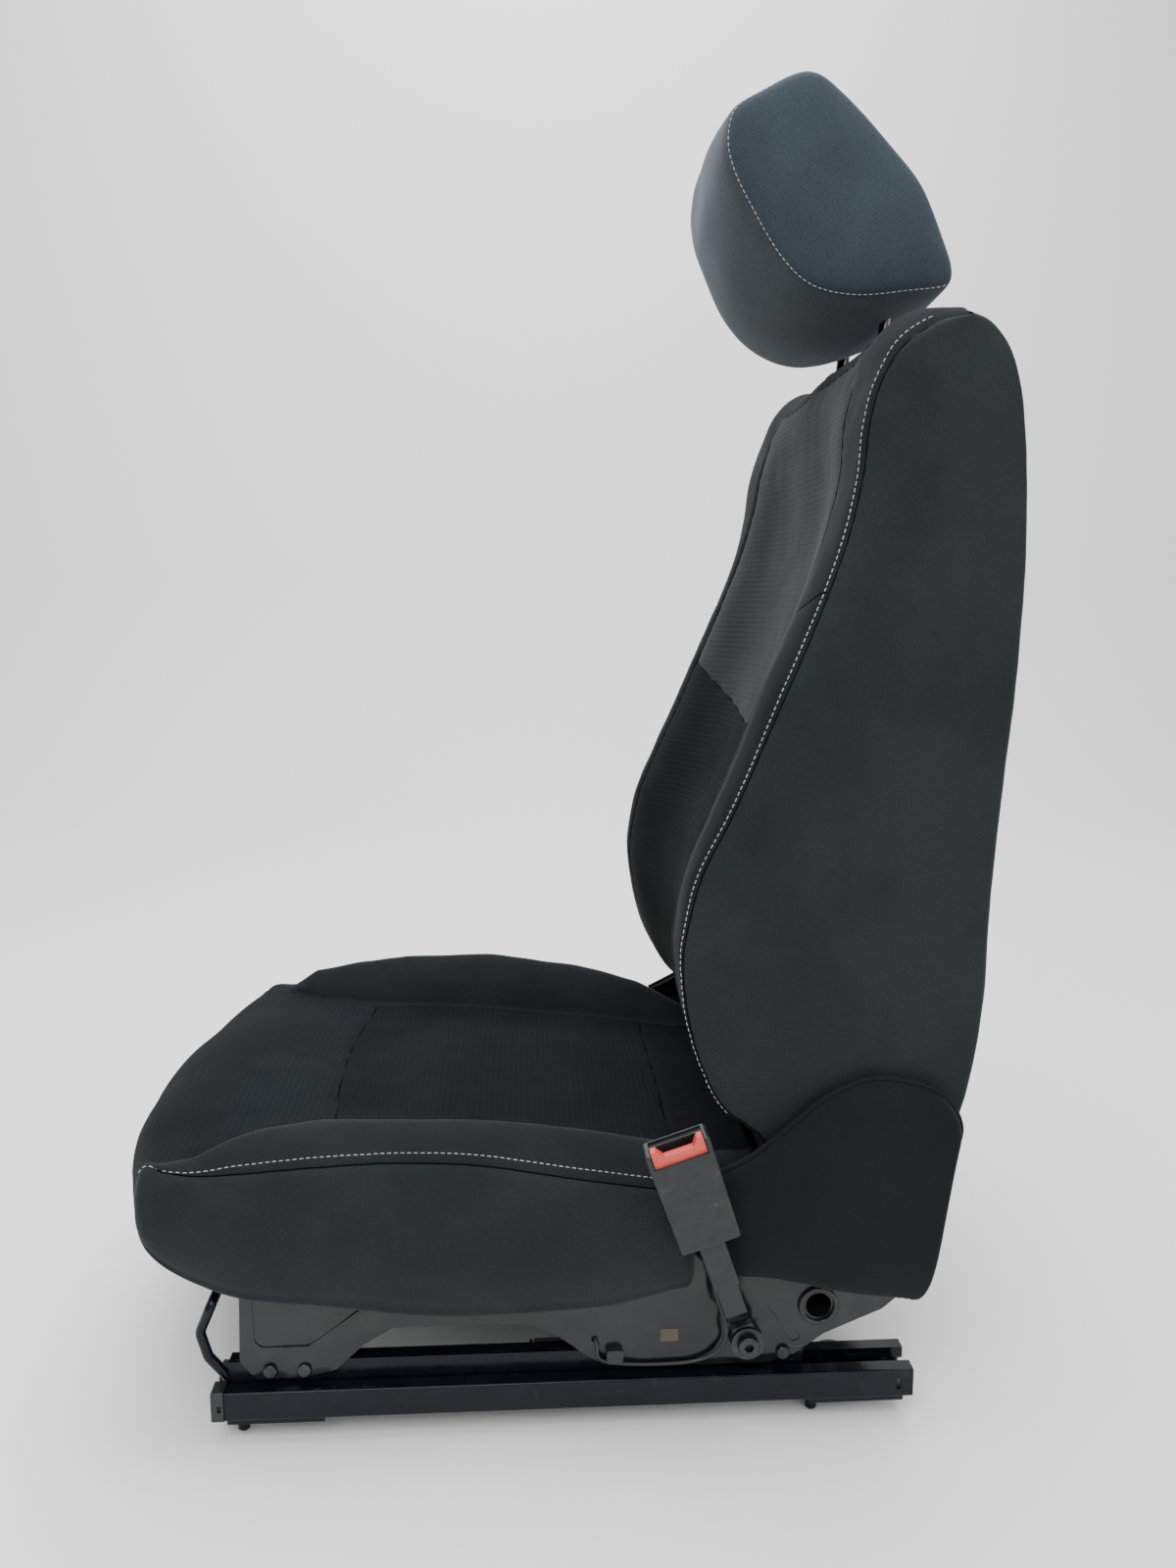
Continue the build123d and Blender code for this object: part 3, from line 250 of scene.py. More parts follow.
def finish_cad_nodes():
    """Gives each CAD node its finish and a slight round on its sharp edges."""
    for part in frame["record"]["subparts"]:
        shape = NODES[part["node"]]
        shape.data.materials.clear()
        shape.data.materials.append(NODE_FINISHES.get(part["node"], SLOT_FINISHES[part["material_slot"]]))
        rounded = shape.modifiers.new("edge", "BEVEL")
        rounded.width = 0.0004
        rounded.segments = 2
        rounded.limit_method = "ANGLE"
        rounded.angle_limit = math.radians(40)


# ---------------------------------------------------------------- curves and grids
def read(table, place):
    """The size at a place in a table of (place, size) pairs, with straight lines between them."""
    return np.interp(place, [p for p, _ in table], [size for _, size in table])


def lengths_along(path):
    return np.concatenate([[0], np.cumsum(np.linalg.norm(np.diff(path, axis=0), axis=1))])


def smooth_curve(points, count, closed=False):
    """A Catmull-Rom curve through the points, sampled evenly along its length."""
    pts = np.array(points, float)
    if closed:
        pts = np.vstack([pts[-1], pts, pts[0], pts[1]])
    else:
        pts = np.vstack([2 * pts[0] - pts[1], pts, 2 * pts[-1] - pts[-2]])
    out = []
    for i in range(1, len(pts) - 2):
        p0, p1, p2, p3 = pts[i - 1:i + 3]
        for t in np.linspace(0, 1, 24, endpoint=False):
            out.append(0.5 * (2 * p1 + (p2 - p0) * t + (2 * p0 - 5 * p1 + 4 * p2 - p3) * t * t
                              + (3 * p1 - p0 - 3 * p2 + p3) * t ** 3))
    out.append(pts[-2])
    out = np.array(out)
    reach = lengths_along(out)
    want = np.linspace(0, reach[-1], count, endpoint=not closed)
    return np.stack([np.interp(want, reach, out[:, k]) for k in range(out.shape[1])], axis=1)


def outline_normals(points):
    """Normals of a (Y, Z) line, to the left of its direction."""
    d = np.gradient(points, axis=0)
    d /= np.maximum(np.linalg.norm(d, axis=1, keepdims=True), 1e-9)
    return np.stack([-d[:, 1], d[:, 0]], axis=1)


def grid_normals(grid, closed=True):
    along = np.gradient(grid, axis=0)
    if closed:
        across = (np.roll(grid, -1, axis=1) - np.roll(grid, 1, axis=1)) / 2
    else:
        across = np.gradient(grid, axis=1)
    normal = np.cross(across, along)
    length = np.linalg.norm(normal, axis=2, keepdims=True)
    return normal / np.maximum(length, 1e-9)


def outward_normals(grid, rows, column, side=1, closed=True):
    """Normals of a grid, turned so that in this stretch of one column they point to the given side in X."""
    normals = grid_normals(grid, closed)
    return normals * np.sign(float(np.sum(normals[rows, column, 0]))) * side


def closed_row(near, far):
    """One row right round a seat part, from its inboard half and its outboard half."""
    return near + [(-x, y, z) for x, y, z in far[-2:0:-1]]


def column_on(side, j, columns):
    """A column counted from the middle of the inboard half, or its mirror on the outboard half."""
    if side > 0:
        return j
    return columns - j if j > 0 else columns - 0.01


def at(grid, i, j):
    """The point at a fractional place on a grid."""
    i = min(max(i, 0), grid.shape[0] - 1.001)
    j = min(max(j, 0), grid.shape[1] - 1.001)
    a, b = int(i), int(j)
    u, v = i - a, j - b
    return ((1 - u) * ((1 - v) * grid[a, b] + v * grid[a, b + 1])
            + u * ((1 - v) * grid[a + 1, b] + v * grid[a + 1, b + 1]))


def ripple(grid, normals, size, scale, seed):
    """Soft unevenness of stuffed cloth."""
    for i in range(grid.shape[0]):
        for j in range(grid.shape[1]):
            grid[i, j] += normals[i, j] * size * noise.noise(Vector(grid[i, j]) * scale + Vector(grey(seed)))


def press(grid, normals, path, depth, width):
    """Presses a soft groove along a path of points."""
    flat = grid.reshape(-1, 3)
    near = np.min(np.linalg.norm(flat[:, None, :] - path[None, ::2, :], axis=2), axis=1)
    drop = (depth * np.exp(-(near / width) ** 2)).reshape(grid.shape[:2])
    grid -= normals * drop[:, :, None]


def press_row(grid, normals, row, depth, width, spread=8):
    """Presses a soft groove along one row of a grid."""
    for i in range(max(row - spread, 0), min(row + spread + 1, grid.shape[0])):
        away = np.linalg.norm(grid[i] - grid[row], axis=1)
        grid[i] -= normals[i] * (depth * np.exp(-(away / width) ** 2))[:, None]


# ---------------------------------------------------------------- meshes
def mesh_object(name, verts, faces, mats, face_mats=None, smooth=True):
    data = bpy.data.meshes.new(name)
    data.from_pydata([tuple(v) for v in verts], [], faces)
    for mat in mats:
        data.materials.append(mat)
    if face_mats is not None:
        data.polygons.foreach_set("material_index", face_mats)
    data.polygons.foreach_set("use_smooth", [smooth] * len(data.polygons))
    data.update()
    shape = bpy.data.objects.new(name, data)
    bpy.context.scene.collection.objects.link(shape)
    return shape


def ring_faces(base, rings, sides):
    """Quads between rings of vertices that follow each other, and a cap on each end."""
    faces = []
    for r in range(base, base + (rings - 1) * sides, sides):
        for k in range(sides):
            m = (k + 1) % sides
            faces.append((r + k, r + m, r + sides + m, r + sides + k))
    faces.append(tuple(base + k for k in range(sides))[::-1])
    faces.append(tuple(base + (rings - 1) * sides + k for k in range(sides)))
    return faces


def shell(name, grid, mats, pick, closed=True, cap_ends=False):
    """A quad surface from a grid of points; pick(i, j) gives each quad's material, or None for a gap."""
    rows, cols = grid.shape[:2]
    faces, picks = [], []
    for i in range(rows - 1):
        for j in range(cols if closed else cols - 1):
            k = (j + 1) % cols
            chosen = pick(i, j)
            if chosen is None:
                continue
            faces.append((i * cols + j, i * cols + k, (i + 1) * cols + k, (i + 1) * cols + j))
            picks.append(chosen)
    if cap_ends:
        faces.append(tuple(range(cols))[::-1])
        faces.append(tuple((rows - 1) * cols + j for j in range(cols)))
        picks += [pick(0, 0), pick(rows - 2, 0)]
    made = mesh_object(name, grid.reshape(-1, 3) * MM, faces, mats, picks)
    bm = bmesh.new()
    bm.from_mesh(made.data)
    bmesh.ops.remove_doubles(bm, verts=bm.verts, dist=0.00005)
    bmesh.ops.recalc_face_normals(bm, faces=bm.faces)
    bm.to_mesh(made.data)
    bm.free()
    return made


def tube(name, path, radius, mat, sides=10):
    """A round cord along a path of points."""
    path = np.array(path, float)
    verts = []
    n = np.array([1.0, 0, 0])
    for i, p in enumerate(path):
        d = path[min(i + 1, len(path) - 1)] - path[max(i - 1, 0)]
        d /= max(np.linalg.norm(d), 1e-9)
        n = n - d * (n @ d)
        n /= max(np.linalg.norm(n), 1e-9)
        b = np.cross(d, n)
        verts += [p + radius * (math.cos(a) * n + math.sin(a) * b)
                  for a in np.linspace(0, 2 * math.pi, sides, endpoint=False)]
    return mesh_object(name, np.array(verts) * MM, ring_faces(0, len(path), sides), [mat])


STITCH_RINGS = ((0, 0.35, -0.55), (0.15, 0.85, 0.0), (0.5, 1.0, 0.12), (0.85, 0.85, 0.0),
                (1, 0.35, -0.55))  # place along the stitch, thickness, height
STITCH_SIDES = 6
STITCH_LIFT = 0.25


def stitches(name, path, normals, mat, length, gap, width):
    """A row of thread stitches laid on a path of points."""
    path, normals = np.array(path), np.array(normals)
    reach = lengths_along(path)

    def between(values, place):
        return np.array([np.interp(place, reach, values[:, k]) for k in range(3)])

    verts, faces = [], []
    start = 0.0
    while start + length < reach[-1]:
        faces += ring_faces(len(verts), len(STITCH_RINGS), STITCH_SIDES)
        for share, size, height in STITCH_RINGS:
            place = start + share * length
            middle = between(path, place)
            step = 1 if place + 1 <= reach[-1] else -1
            d = (between(path, place + step) - middle) * step
            d = d / max(np.linalg.norm(d), 1e-9)
            n = between(normals, place)
            n = n / max(np.linalg.norm(n), 1e-9)
            b = np.cross(d, n)
            middle = middle + n * (STITCH_LIFT + height)
            verts += [middle + width * size * (math.cos(a) * b + 0.8 * math.sin(a) * n)
                      for a in np.linspace(0, 2 * math.pi, STITCH_SIDES, endpoint=False)]
        start += length + gap
    return mesh_object(name, np.array(verts) * MM, faces, [mat])


# ---------------------------------------------------------------- sewing
def belongs(shape, body):
    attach(shape, body)


def padded_cover(shape, fill, body, *replaced):
    """Rounds a cover off, and puts it on its body in place of the plain CAD nodes."""
    soft = shape.modifiers.new("soft", "SUBSURF")
    soft.levels = soft.render_levels = 1
    belongs(shape, body)
    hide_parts(*replaced)


def seam(name, body, grid, normals, places, depth, width, radius=0.9):
    """A sewn seam: a groove with a dark cord in its bottom, which is painted shade of the groove. places are
    (row, column).
    """
    fine = smooth_curve(places, max(12, len(places) * 8))
    path = np.array([at(grid, i, j) for i, j in fine])
    out = np.array([at(normals, i, j) for i, j in fine])
    press(grid, normals, path, depth, width)
    # painted shade: a near-black cord laid along the bottom of the groove
    cord = tube(name, path - out * (0.72 * depth), radius, SEAM_SHADE, sides=8)
    belongs(cord, body)


def topstitch(name, body, grid, normals, places, length, gap, width):
    """A row of white stitches along places on a grid, which are (row, column)."""
    fine = smooth_curve(places, max(40, len(places) * 6))
    path = np.array([at(grid, i, j) for i, j in fine])
    out = np.array([at(normals, i, j) for i, j in fine])
    belongs(stitches(name, path, out, THREAD, length, gap, width), body)


# ---------------------------------------------------------------- backrest
PIVOT = np.array([250.0, 205.0])
BACK_HALF = 234.5  # half the backrest's width
BACK_FRONT = [(250, 131), (222, 137), (197, 153), (179, 178), (173, 206), (154, 240), (124, 264), (105, 300),
              (93, 343), (88, 388), (93, 424), (104, 464), (127, 511), (154, 575), (183, 644), (209, 716),
              (221, 768), (225, 808), (233, 840), (250, 868), (277, 885), (301, 889)]
BACK_REAR = [(250, 131), (279, 137), (303, 153), (314, 178), (316, 206), (321, 240), (330, 272), (336, 305),
             (340, 343), (342, 388), (343, 424), (345, 464), (347, 511), (351, 575), (355, 644), (356, 716),
             (355, 768), (351, 808), (345, 840), (334, 866), (318, 883), (301, 889)]
BACK_CROWN = [(200, 0), (262, 14), (330, 32), (420, 38), (520, 36), (640, 28), (740, 20), (820, 9), (860, -4),
              (875, -11), (889, -12)]  # how deep the middle lies inside the bolsters' outline, by height
BACK_BOLSTER = [(200, -2), (300, -3), (378, 0), (420, 3), (469, 6), (515, 9), (605, 10), (694, 7), (738, 5),
                (790, 2), (840, 1), (855, 5), (868, 11), (878, 16), (885, 18), (889, 13)]
BACK_SEAM_X = [(500, 198), (640, 193), (760, 180), (872, 158)]
REAR_BULGE = [(200, 0), (800, 0), (850, 1), (870, 3), (883, 8), (889, 13)]
REAR_MIDDLE = [(200, 0), (800, 1), (850, 2), (870, 4), (883, 8), (889, 12)]
BACK_ROWS = 170
BACK_INSERT, BACK_STRIP, BACK_SIDE = 21, 19, 29  # columns in each stretch of the front and side
BACK_SEAM_A = BACK_INSERT
BACK_SEAM_B = BACK_INSERT + BACK_STRIP
TAIL_TOP = 203.0  # below this height the backrest is a narrower tail between the recliners
TAIL_SHARE = 200 / 235
CHEVRON = [(612, BACK_SEAM_A), (596, 12), (578, 3), (574, 0)]  # heights by column


def back_half(front, rear, front_out, rear_out):
    """One level of the backrest's near half, from the middle of the front to the middle of the rear."""
    height = front[1]
    bolster = read(BACK_BOLSTER, height)
    edge = -0.85 * bolster
    centre = read(BACK_CROWN, height)
    seam_x = read(BACK_SEAM_X, height)
    gap = BACK_HALF - seam_x
    insert = smooth_curve([(0, centre), (0.34 * seam_x, centre * 0.95),
                           (0.6 * seam_x, centre * 0.68 + edge * 0.15),
                           (0.82 * seam_x, centre * 0.16 + edge * 0.6), (seam_x, edge)], BACK_INSERT + 1)
    strip = smooth_curve([(seam_x, edge), (seam_x + 0.22 * gap, -bolster), (seam_x + 0.5 * gap, -bolster),
                          (seam_x + 0.8 * gap, -bolster * 0.6), (BACK_HALF - 3.5, -bolster * 0.15),
                          (BACK_HALF, 3)], BACK_STRIP + 1)
    half = [(x, *(front - front_out * inset)) for x, inset in np.vstack([insert[:-1], strip[:-1]])]
    swell = 0.9 + np.interp(np.linalg.norm((front + rear) / 2 - PIVOT), [150, 230], [0, 3.6])
    start = front - front_out * 3
    for t in np.linspace(0, 1, BACK_SIDE + 1)[:-1]:
        half.append((BACK_HALF + swell * math.sin(math.pi * t) ** 0.7, *(start + (rear - start) * t)))
    bulge, middle = read(REAR_BULGE, rear[1]), read(REAR_MIDDLE, rear[1])
    behind = smooth_curve([(BACK_HALF, 0), (226, bulge * 0.35), (205, bulge * 0.8), (150, bulge), (70, middle),
                           (0, middle)], 16)
    half += [(x, *(rear + rear_out * out)) for x, out in behind]
    narrow = 1.0 if height > TAIL_TOP else TAIL_SHARE
    return [(x * narrow, y, z) for x, y, z in half]


def back_grid():
    pairs = smooth_curve([(*f, *r) for f, r in zip(BACK_FRONT, BACK_REAR)], BACK_ROWS)
    fronts, rears = pairs[:, :2], pairs[:, 2:]
    front_out, rear_out = outline_normals(fronts), -outline_normals(rears)
    front_out[-1] = rear_out[-1] = (0.0, 1.0)
    halves = [back_half(*level) for level in zip(fronts, rears, front_out, rear_out)]
    return np.array([closed_row(half, half) for half in halves])


def slide_rows(grid, low, seam_row, top, places):
    """Slides the points of the insert up or down, so that a slanting seam lies along one row."""
    rows = np.arange(len(grid))
    seam_rows = [row for row, _ in places[::-1]]
    columns = [j for _, j in places[::-1]]
    for j in range(-columns[-1] + 1, columns[-1]):
        cut = np.interp(abs(j), columns, seam_rows)
        source = np.interp(rows, [low, seam_row, top], [low, cut, top])
        source = np.where((rows > low) & (rows < top), source, rows)
        grid[:, j] = np.stack([np.interp(source, rows, grid[:, j, axis]) for axis in range(3)], axis=1)


def build_backrest():
    grid = back_grid()
    columns = grid.shape[1]
    normals = outward_normals(grid, slice(60, 120), 55)
    ripple(grid, normals, 2.4, 0.012, 3.0)
    ripple(grid, normals, 0.55, 0.05, 7.0)

    def row_at(height):
        return int(np.argmin(np.abs(grid[:, BACK_SEAM_A, 2] - height)))

    top, low = row_at(872), row_at(262)
    chevron = [(row_at(height), j) for height, j in CHEVRON]
    chevron_row = chevron[0][0]
    slide_rows(grid, low, chevron_row, top, chevron)
    join = row_at(672)
    normals = outward_normals(grid, slice(60, 120), 55)
    insert_edge = [(i, BACK_SEAM_A) for i in range(low, top - 12, 8)]
    insert_edge += [(top - 9, BACK_SEAM_A), (top - 4, BACK_SEAM_A - 0.4), (top - 1.2, BACK_SEAM_A - 1.6),
                    (top, BACK_SEAM_A - 4)]
    insert_edge += [(top, j) for j in (14, 10, 6, 2)]
    chevron_edge = [(chevron_row, j) for _, j in CHEVRON]
    join_edge = [(join - 1, BACK_SEAM_A + 0.5), (join, 30), (join + 3, BACK_SEAM_B - 1)]
    side_edge = [(i, BACK_SEAM_B) for i in range(8, BACK_ROWS - 1, 6)]
    for side, tag in SIDES:
        for kind, places, depth, width, radius in (
                ("insert", insert_edge, 2.6, 4.6, 0.9), ("chevron", chevron_edge, 1.6, 3.6, 0.9),
                ("join", join_edge, 0.9, 3.0, 0.6), ("side", side_edge, 1.3, 2.8, 0.5)):
            places = [(i, column_on(side, j, columns)) for i, j in places]
            seam(f"backrest_{kind}_seam_{tag}", "backrest", grid, normals, places, depth, width, radius)
        beside = column_on(side, BACK_SEAM_B - 1.7, columns)
        topstitch(f"backrest_topstitch_{tag}", "backrest", grid, normals,
                  [(i, beside) for i in range(row_at(262), BACK_ROWS - 3, 3)], length=3.6, gap=1.6, width=0.42)
    tail_row = int(np.argmax(grid[:, BACK_SEAM_B, 0] > 220)) - 1

    def cloth(i, j):
        j = min(j, columns - 1 - j)
        if i == tail_row and j > 12:
            return None  # the step in width from the tail to the body stays open
        if j < BACK_SEAM_A and low <= i < top:
            return 4 if i < chevron_row else 0
        if j < BACK_SEAM_B:
            return 1
        return 2 if j < BACK_SEAM_B + BACK_SIDE else 3

    cloths = [INSERT_CLOTH, STRIP_CLOTH, SIDE_CLOTH, BACK_CLOTH, LOWER_CLOTH]
    cover = shell("backrest_cover", grid, cloths, cloth)
    padded_cover(cover, 0.8, "backrest", "back_foam", "back_cover", "back_panel")


# ---------------------------------------------------------------- cushion
SEAT_TOP = [(168, 201), (150, 203), (120, 212), (85, 224), (17, 237), (-65, 243), (-150, 247), (-230, 249),
            (-290, 247), (-335, 240), (-363, 229), (-385, 211), (-399, 191), (-404, 177)]
SEAT_LOW = [(177, 140), (165, 135), (130, 121), (85, 106), (17, 95), (-65, 94), (-150, 98), (-230, 106),
            (-290, 116), (-335, 124), (-365, 134), (-386, 147), (-399, 162), (-404, 175)]
SIDE_TOP = [(168, 192), (150, 189), (120, 194), (85, 200), (17, 211), (-65, 226), (-143, 231), (-205, 229),
            (-262, 225), (-298, 224), (-322, 228), (-338, 232), (-346, 214), (-347, 194)]
SIDE_LOW = [(177, 140), (165, 135), (130, 121), (85, 112), (17, 96), (-65, 94), (-122, 95), (-200, 105),
            (-262, 114), (-298, 128), (-322, 142), (-337, 156), (-345, 172), (-347, 192)]
SEAT_CROWN = [(-404, 0), (-370, 1), (-330, 5), (-280, 13), (-200, 22), (0, 24), (90, 19), (130, 10), (165, 3)]
SEAT_EDGE = [(-404, 0), (-370, 0), (-330, 3), (-280, 9), (-200, 16), (0, 17), (90, 12), (165, 2)]
SEAT_SEAM_X = [(-404, 238), (-372, 232), (-330, 205), (-280, 172), (-220, 158)]
NEAR_BOLSTER = [(-404, 0), (-340, 3), (-300, 9), (-236, 9), (-180, 8), (-76, 9), (20, 9), (90, 6), (165, 0)]
FAR_BOLSTER = [(-404, 0), (-340, 3), (-300, 21), (-236, 27), (-180, 33), (-76, 37), (20, 35), (90, 27),
               (165, 6)]
FAR_DROP = [(-347, 0), (-340, 15), (-325, 5), (-298, 0)]  # the far front corner is lower than the near one
SEAT_ROWS = 150
SEAT_SIDE = 243.0  # half width at the top of the side
SEAT_INSERT, SEAT_STRIP, SEAT_FLANK = 19, 19, 29  # columns in each stretch of the top and side
SEAT_SEAM_A = SEAT_INSERT
SEAT_SEAM_B = SEAT_INSERT + SEAT_STRIP
SPREAD = 1.75  # how the outline passes from the middle's to the side's
FRONT_SEAM_Y, REAR_SEAM_Y, SIDE_SEAM_END_Y = -203, 97, -337


def seat_half(top, low, side_top, side_low, out, bolsters):
    """One slice of the cushion's half, from the middle of the top to the middle of the underside."""
    y = top[0]
    centre, edge, seam_x = read(SEAT_CROWN, y), read(SEAT_EDGE, y), read(SEAT_SEAM_X, y)
    rise = read(bolsters, y)
    gap = SEAT_SIDE - seam_x
    insert = smooth_curve([(0, centre), (0.45 * seam_x, centre * 0.97),
                           (0.78 * seam_x, centre * 0.8 + edge * 0.2), (seam_x, edge)], SEAT_INSERT + 1)
    strip = smooth_curve([(seam_x, edge), (seam_x + 0.16 * gap, edge - 0.55 * (edge + rise)),
                          (seam_x + 0.4 * gap, -rise), (seam_x + 0.62 * gap, -rise * 0.95),
                          (seam_x + 0.84 * gap, -rise * 0.45), (SEAT_SIDE, 0)], SEAT_STRIP + 1)
    half = []
    for x, inset in np.vstack([insert[:-1], strip[:-1]]):
        w = min(1.0, (x / SEAT_SIDE) ** SPREAD)
        half.append((x, *(top * (1 - w) + side_top * w - out * inset)))
    puff = 8.5 * min(1.0, np.linalg.norm(side_low - side_top) / 70)
    for t in np.linspace(0, 1, SEAT_FLANK + 1)[:-1]:
        bend = math.sin(math.pi * min(1.0, t * 1.06)) ** 0.55 if t < 0.94 else 0.3
        half.append((SEAT_SIDE + puff * bend, *(side_top + (side_low - side_top) * t)))
    for x in np.linspace(1, 0, 12):
        w = x ** SPREAD
        half.append((SEAT_SIDE * x, *(low * (1 - w) + side_low * w)))
    return half


def seat_grid():
    lines = [(*a, *b, *c, *d) for a, b, c, d in zip(SEAT_TOP, SEAT_LOW, SIDE_TOP, SIDE_LOW)]
    lines = smooth_curve(lines, SEAT_ROWS)
    grid = []
    for line, out in zip(lines, -outline_normals(lines[:, :2])):
        top, low, side_top, side_low = line[:2], line[2:4], line[4:6], line[6:]
        dropped = side_top - np.array([0, read(FAR_DROP, side_top[0])])
        near = seat_half(top, low, side_top, side_low, out, NEAR_BOLSTER)
        far = seat_half(top, low, dropped, side_low, out, FAR_BOLSTER)
        grid.append(closed_row(near, far))
    return narrow_rear(np.array(grid))


def narrow_rear(grid):
    """Draws the rear of the cushion in between the side members and recliners."""
    tuck = np.clip((grid[:, :, 1] - 96) / 12, 0, 1)
    limit = np.interp(grid[:, :, 2], [158, 166], [213, 235.2])
    reach = np.minimum(np.abs(grid[:, :, 0]), (1 - tuck) * 260 + tuck * limit)
    grid[:, :, 0] = np.sign(grid[:, :, 0]) * reach
    return grid


def build_cushion():
    grid = seat_grid()
    columns = grid.shape[1]
    normals = outward_normals(grid, slice(40, 100), 52)
    ripple(grid, normals, 2.6, 0.011, 11.0)
    ripple(grid, normals, 0.6, 0.045, 5.0)
    normals = outward_normals(grid, slice(40, 100), 52)

    def row_at(y, column):
        return int(np.argmin(np.abs(grid[:, column, 1] - y)))

    front_seam, rear_seam = row_at(FRONT_SEAM_Y, SEAT_SEAM_A), row_at(REAR_SEAM_Y, SEAT_SEAM_A)
    for side, tag in SIDES:
        last = row_at(SIDE_SEAM_END_Y, int(column_on(side, SEAT_SEAM_B, columns)))
        for kind, places, depth, width, radius in (
                ("insert", [(i, SEAT_SEAM_A) for i in range(8, last - 6, 6)], 2.2, 4.2, 0.9),
                ("side", [(i, SEAT_SEAM_B) for i in range(4, last + 1, 6)], 1.6, 3.0, 0.6),
                ("front", [(front_seam, j) for j in (18, 14, 9, 4, 0.5)], 2.8, 3.4, 0.9),
                ("rear", [(rear_seam, j) for j in (18, 14, 9, 4, 0.5)], 2.8, 3.4, 0.9)):
            places = [(i, column_on(side, j, columns)) for i, j in places]
            seam(f"cushion_{kind}_seam_{tag}", "seat_base", grid, normals, places, depth, width, radius)
        beside = [(i, SEAT_SEAM_B - 1.9) for i in range(rear_seam - 16, last - 3, 4)]
        beside += [(last, SEAT_SEAM_B - 2.1), (last + 2, SEAT_SEAM_B - 3.0), (last + 2.5, SEAT_SEAM_B - 4.6)]
        topstitch(f"cushion_topstitch_{tag}", "seat_base", grid, normals,
                  [(i, column_on(side, j, columns)) for i, j in beside], length=3.8, gap=1.6, width=0.44)

    def cloth(i, j):
        j = min(j, columns - 1 - j)
        if j < SEAT_SEAM_A:
            return 3 if i < rear_seam else 4 if i >= front_seam else 0
        return 1 if j < SEAT_SEAM_B else 2

    cloths = [SEAT_CLOTH, STRIP_CLOTH, SIDE_CLOTH, RAMP_CLOTH, FRONT_CLOTH]
    cover = shell("cushion_trim_cover", grid, cloths, cloth, cap_ends=True)
    padded_cover(cover, 0.8, "seat_base", "cushion_foam", "cushion_cover")


# ---------------------------------------------------------------- headrest
HEAD_SEAM = [(203, 1110), (163, 1094), (141, 1079), (136, 1054), (142, 1030), (155, 1006), (184, 962),
             (211, 939), (247, 932), (292, 936), (327, 940), (334, 950), (328, 971), (305, 1019), (272, 1059),
             (234, 1094)]
HEAD_CORE = [(203, 1114), (160, 1098), (136, 1079), (131, 1044), (133, 1006), (152, 955), (184, 916),
             (226, 899), (270, 905), (315, 925), (333, 948), (328, 972), (307, 1021), (276, 1064), (238, 1100)]
HEAD_SIDE = ((0.985, 1.5), (0.95, 4.5), (0.9, 7.0), (0.8, 9.5), (0.65, 11.5), (0.5, 12.5), (0.35, 13.0),
             (0.2, 13.3), (0.08, 13.4))  # share of the seam's outline, and distance outside the seam
HEAD_MIDDLE = np.array([238, 1015])
HEAD_SEAM_X = 106
HEAD_FRONT_ROWS = 15
HEAD_POINTS = 112  # points round the outline
HEAD_STITCH_START = np.array([205, 1108])


def head_grid(seam_loop, core_loop):
    near = []
    for x in np.linspace(0, 1, HEAD_FRONT_ROWS):
        share = 1 - x ** 2.2
        near.append([(x * HEAD_SEAM_X, *p) for p in seam_loop * (1 - share) + core_loop * share])
    for share, out in HEAD_SIDE:
        near.append([(HEAD_SEAM_X + out, *(HEAD_MIDDLE + share * (p - HEAD_MIDDLE))) for p in seam_loop])
    near = np.array(near)
    far = near[:0:-1].copy()
    far[:, :, 0] *= -1
    return np.vstack([far, near])


def build_headrest():
    seam_loop = smooth_curve(HEAD_SEAM, HEAD_POINTS, closed=True)
    grid = head_grid(seam_loop, smooth_curve(HEAD_CORE, HEAD_POINTS, closed=True))
    middle_row = len(grid) // 2
    normals = grid_normals(grid)
    outward = grid[middle_row, 0] - np.array([0, *HEAD_MIDDLE])
    normals *= np.sign(float(np.dot(normals[middle_row, 0], outward)))
    ripple(grid, normals, 1.6, 0.02, 21.0)
    near_seam, far_seam = middle_row + HEAD_FRONT_ROWS - 1, middle_row - HEAD_FRONT_ROWS + 1
    for row in (near_seam, far_seam):
        press_row(grid, normals, row, 1.8, 3.2)
    cover = shell("headrest_trim_cover", grid, [HEAD_FRONT, HEAD_CLOTH],
                  lambda i, j: 0 if far_seam <= i < near_seam else 1, cap_ends=True)
    padded_cover(cover, 0.85, "headrest", "headrest_foam", "headrest_cover")
    start = int(np.argmin(np.linalg.norm(seam_loop - HEAD_STITCH_START, axis=1)))
    order = [(start + 6 + k) % HEAD_POINTS for k in range(64)]
    for tag, row in (("inboard", near_seam + 1), ("outboard", far_seam - 1)):
        sewn = stitches(f"headrest_topstitch_{tag}", grid[row, order], normals[row, order], THREAD,
                        length=3.4, gap=1.5, width=0.4)
        belongs(sewn, "headrest")


# ---------------------------------------------------------------- recliner wings
WING_TOP = [(108, 208), (128, 217), (148, 227), (168, 243), (187, 259), (205, 274), (222, 284), (246, 292),
            (273, 289), (297, 280), (312, 267), (320, 250), (321, 231)]
WING_LOW = [(128, 130), (136, 126), (150, 125), (165, 122), (180, 118), (198, 114), (216, 110), (240, 106),
            (262, 102), (280, 99), (290, 98), (296, 106), (302, 122)]
WING_INNER_X = 236.5
WING_SECTION = [(WING_INNER_X, 0.0), (246, -0.004), (252, 0.02), (254.5, 0.09), (256, 0.3), (256.5, 0.6),
                (255, 0.86), (251, 0.97), (244, 1.0), (WING_INNER_X, 0.99)]  # X, and share of the way down
WING_ROWS, WING_COLUMNS = 70, 44
WING_CLOTH_THICKNESS = 0.0016
PIPING_COLUMN, HEM_COLUMN = 9, 34


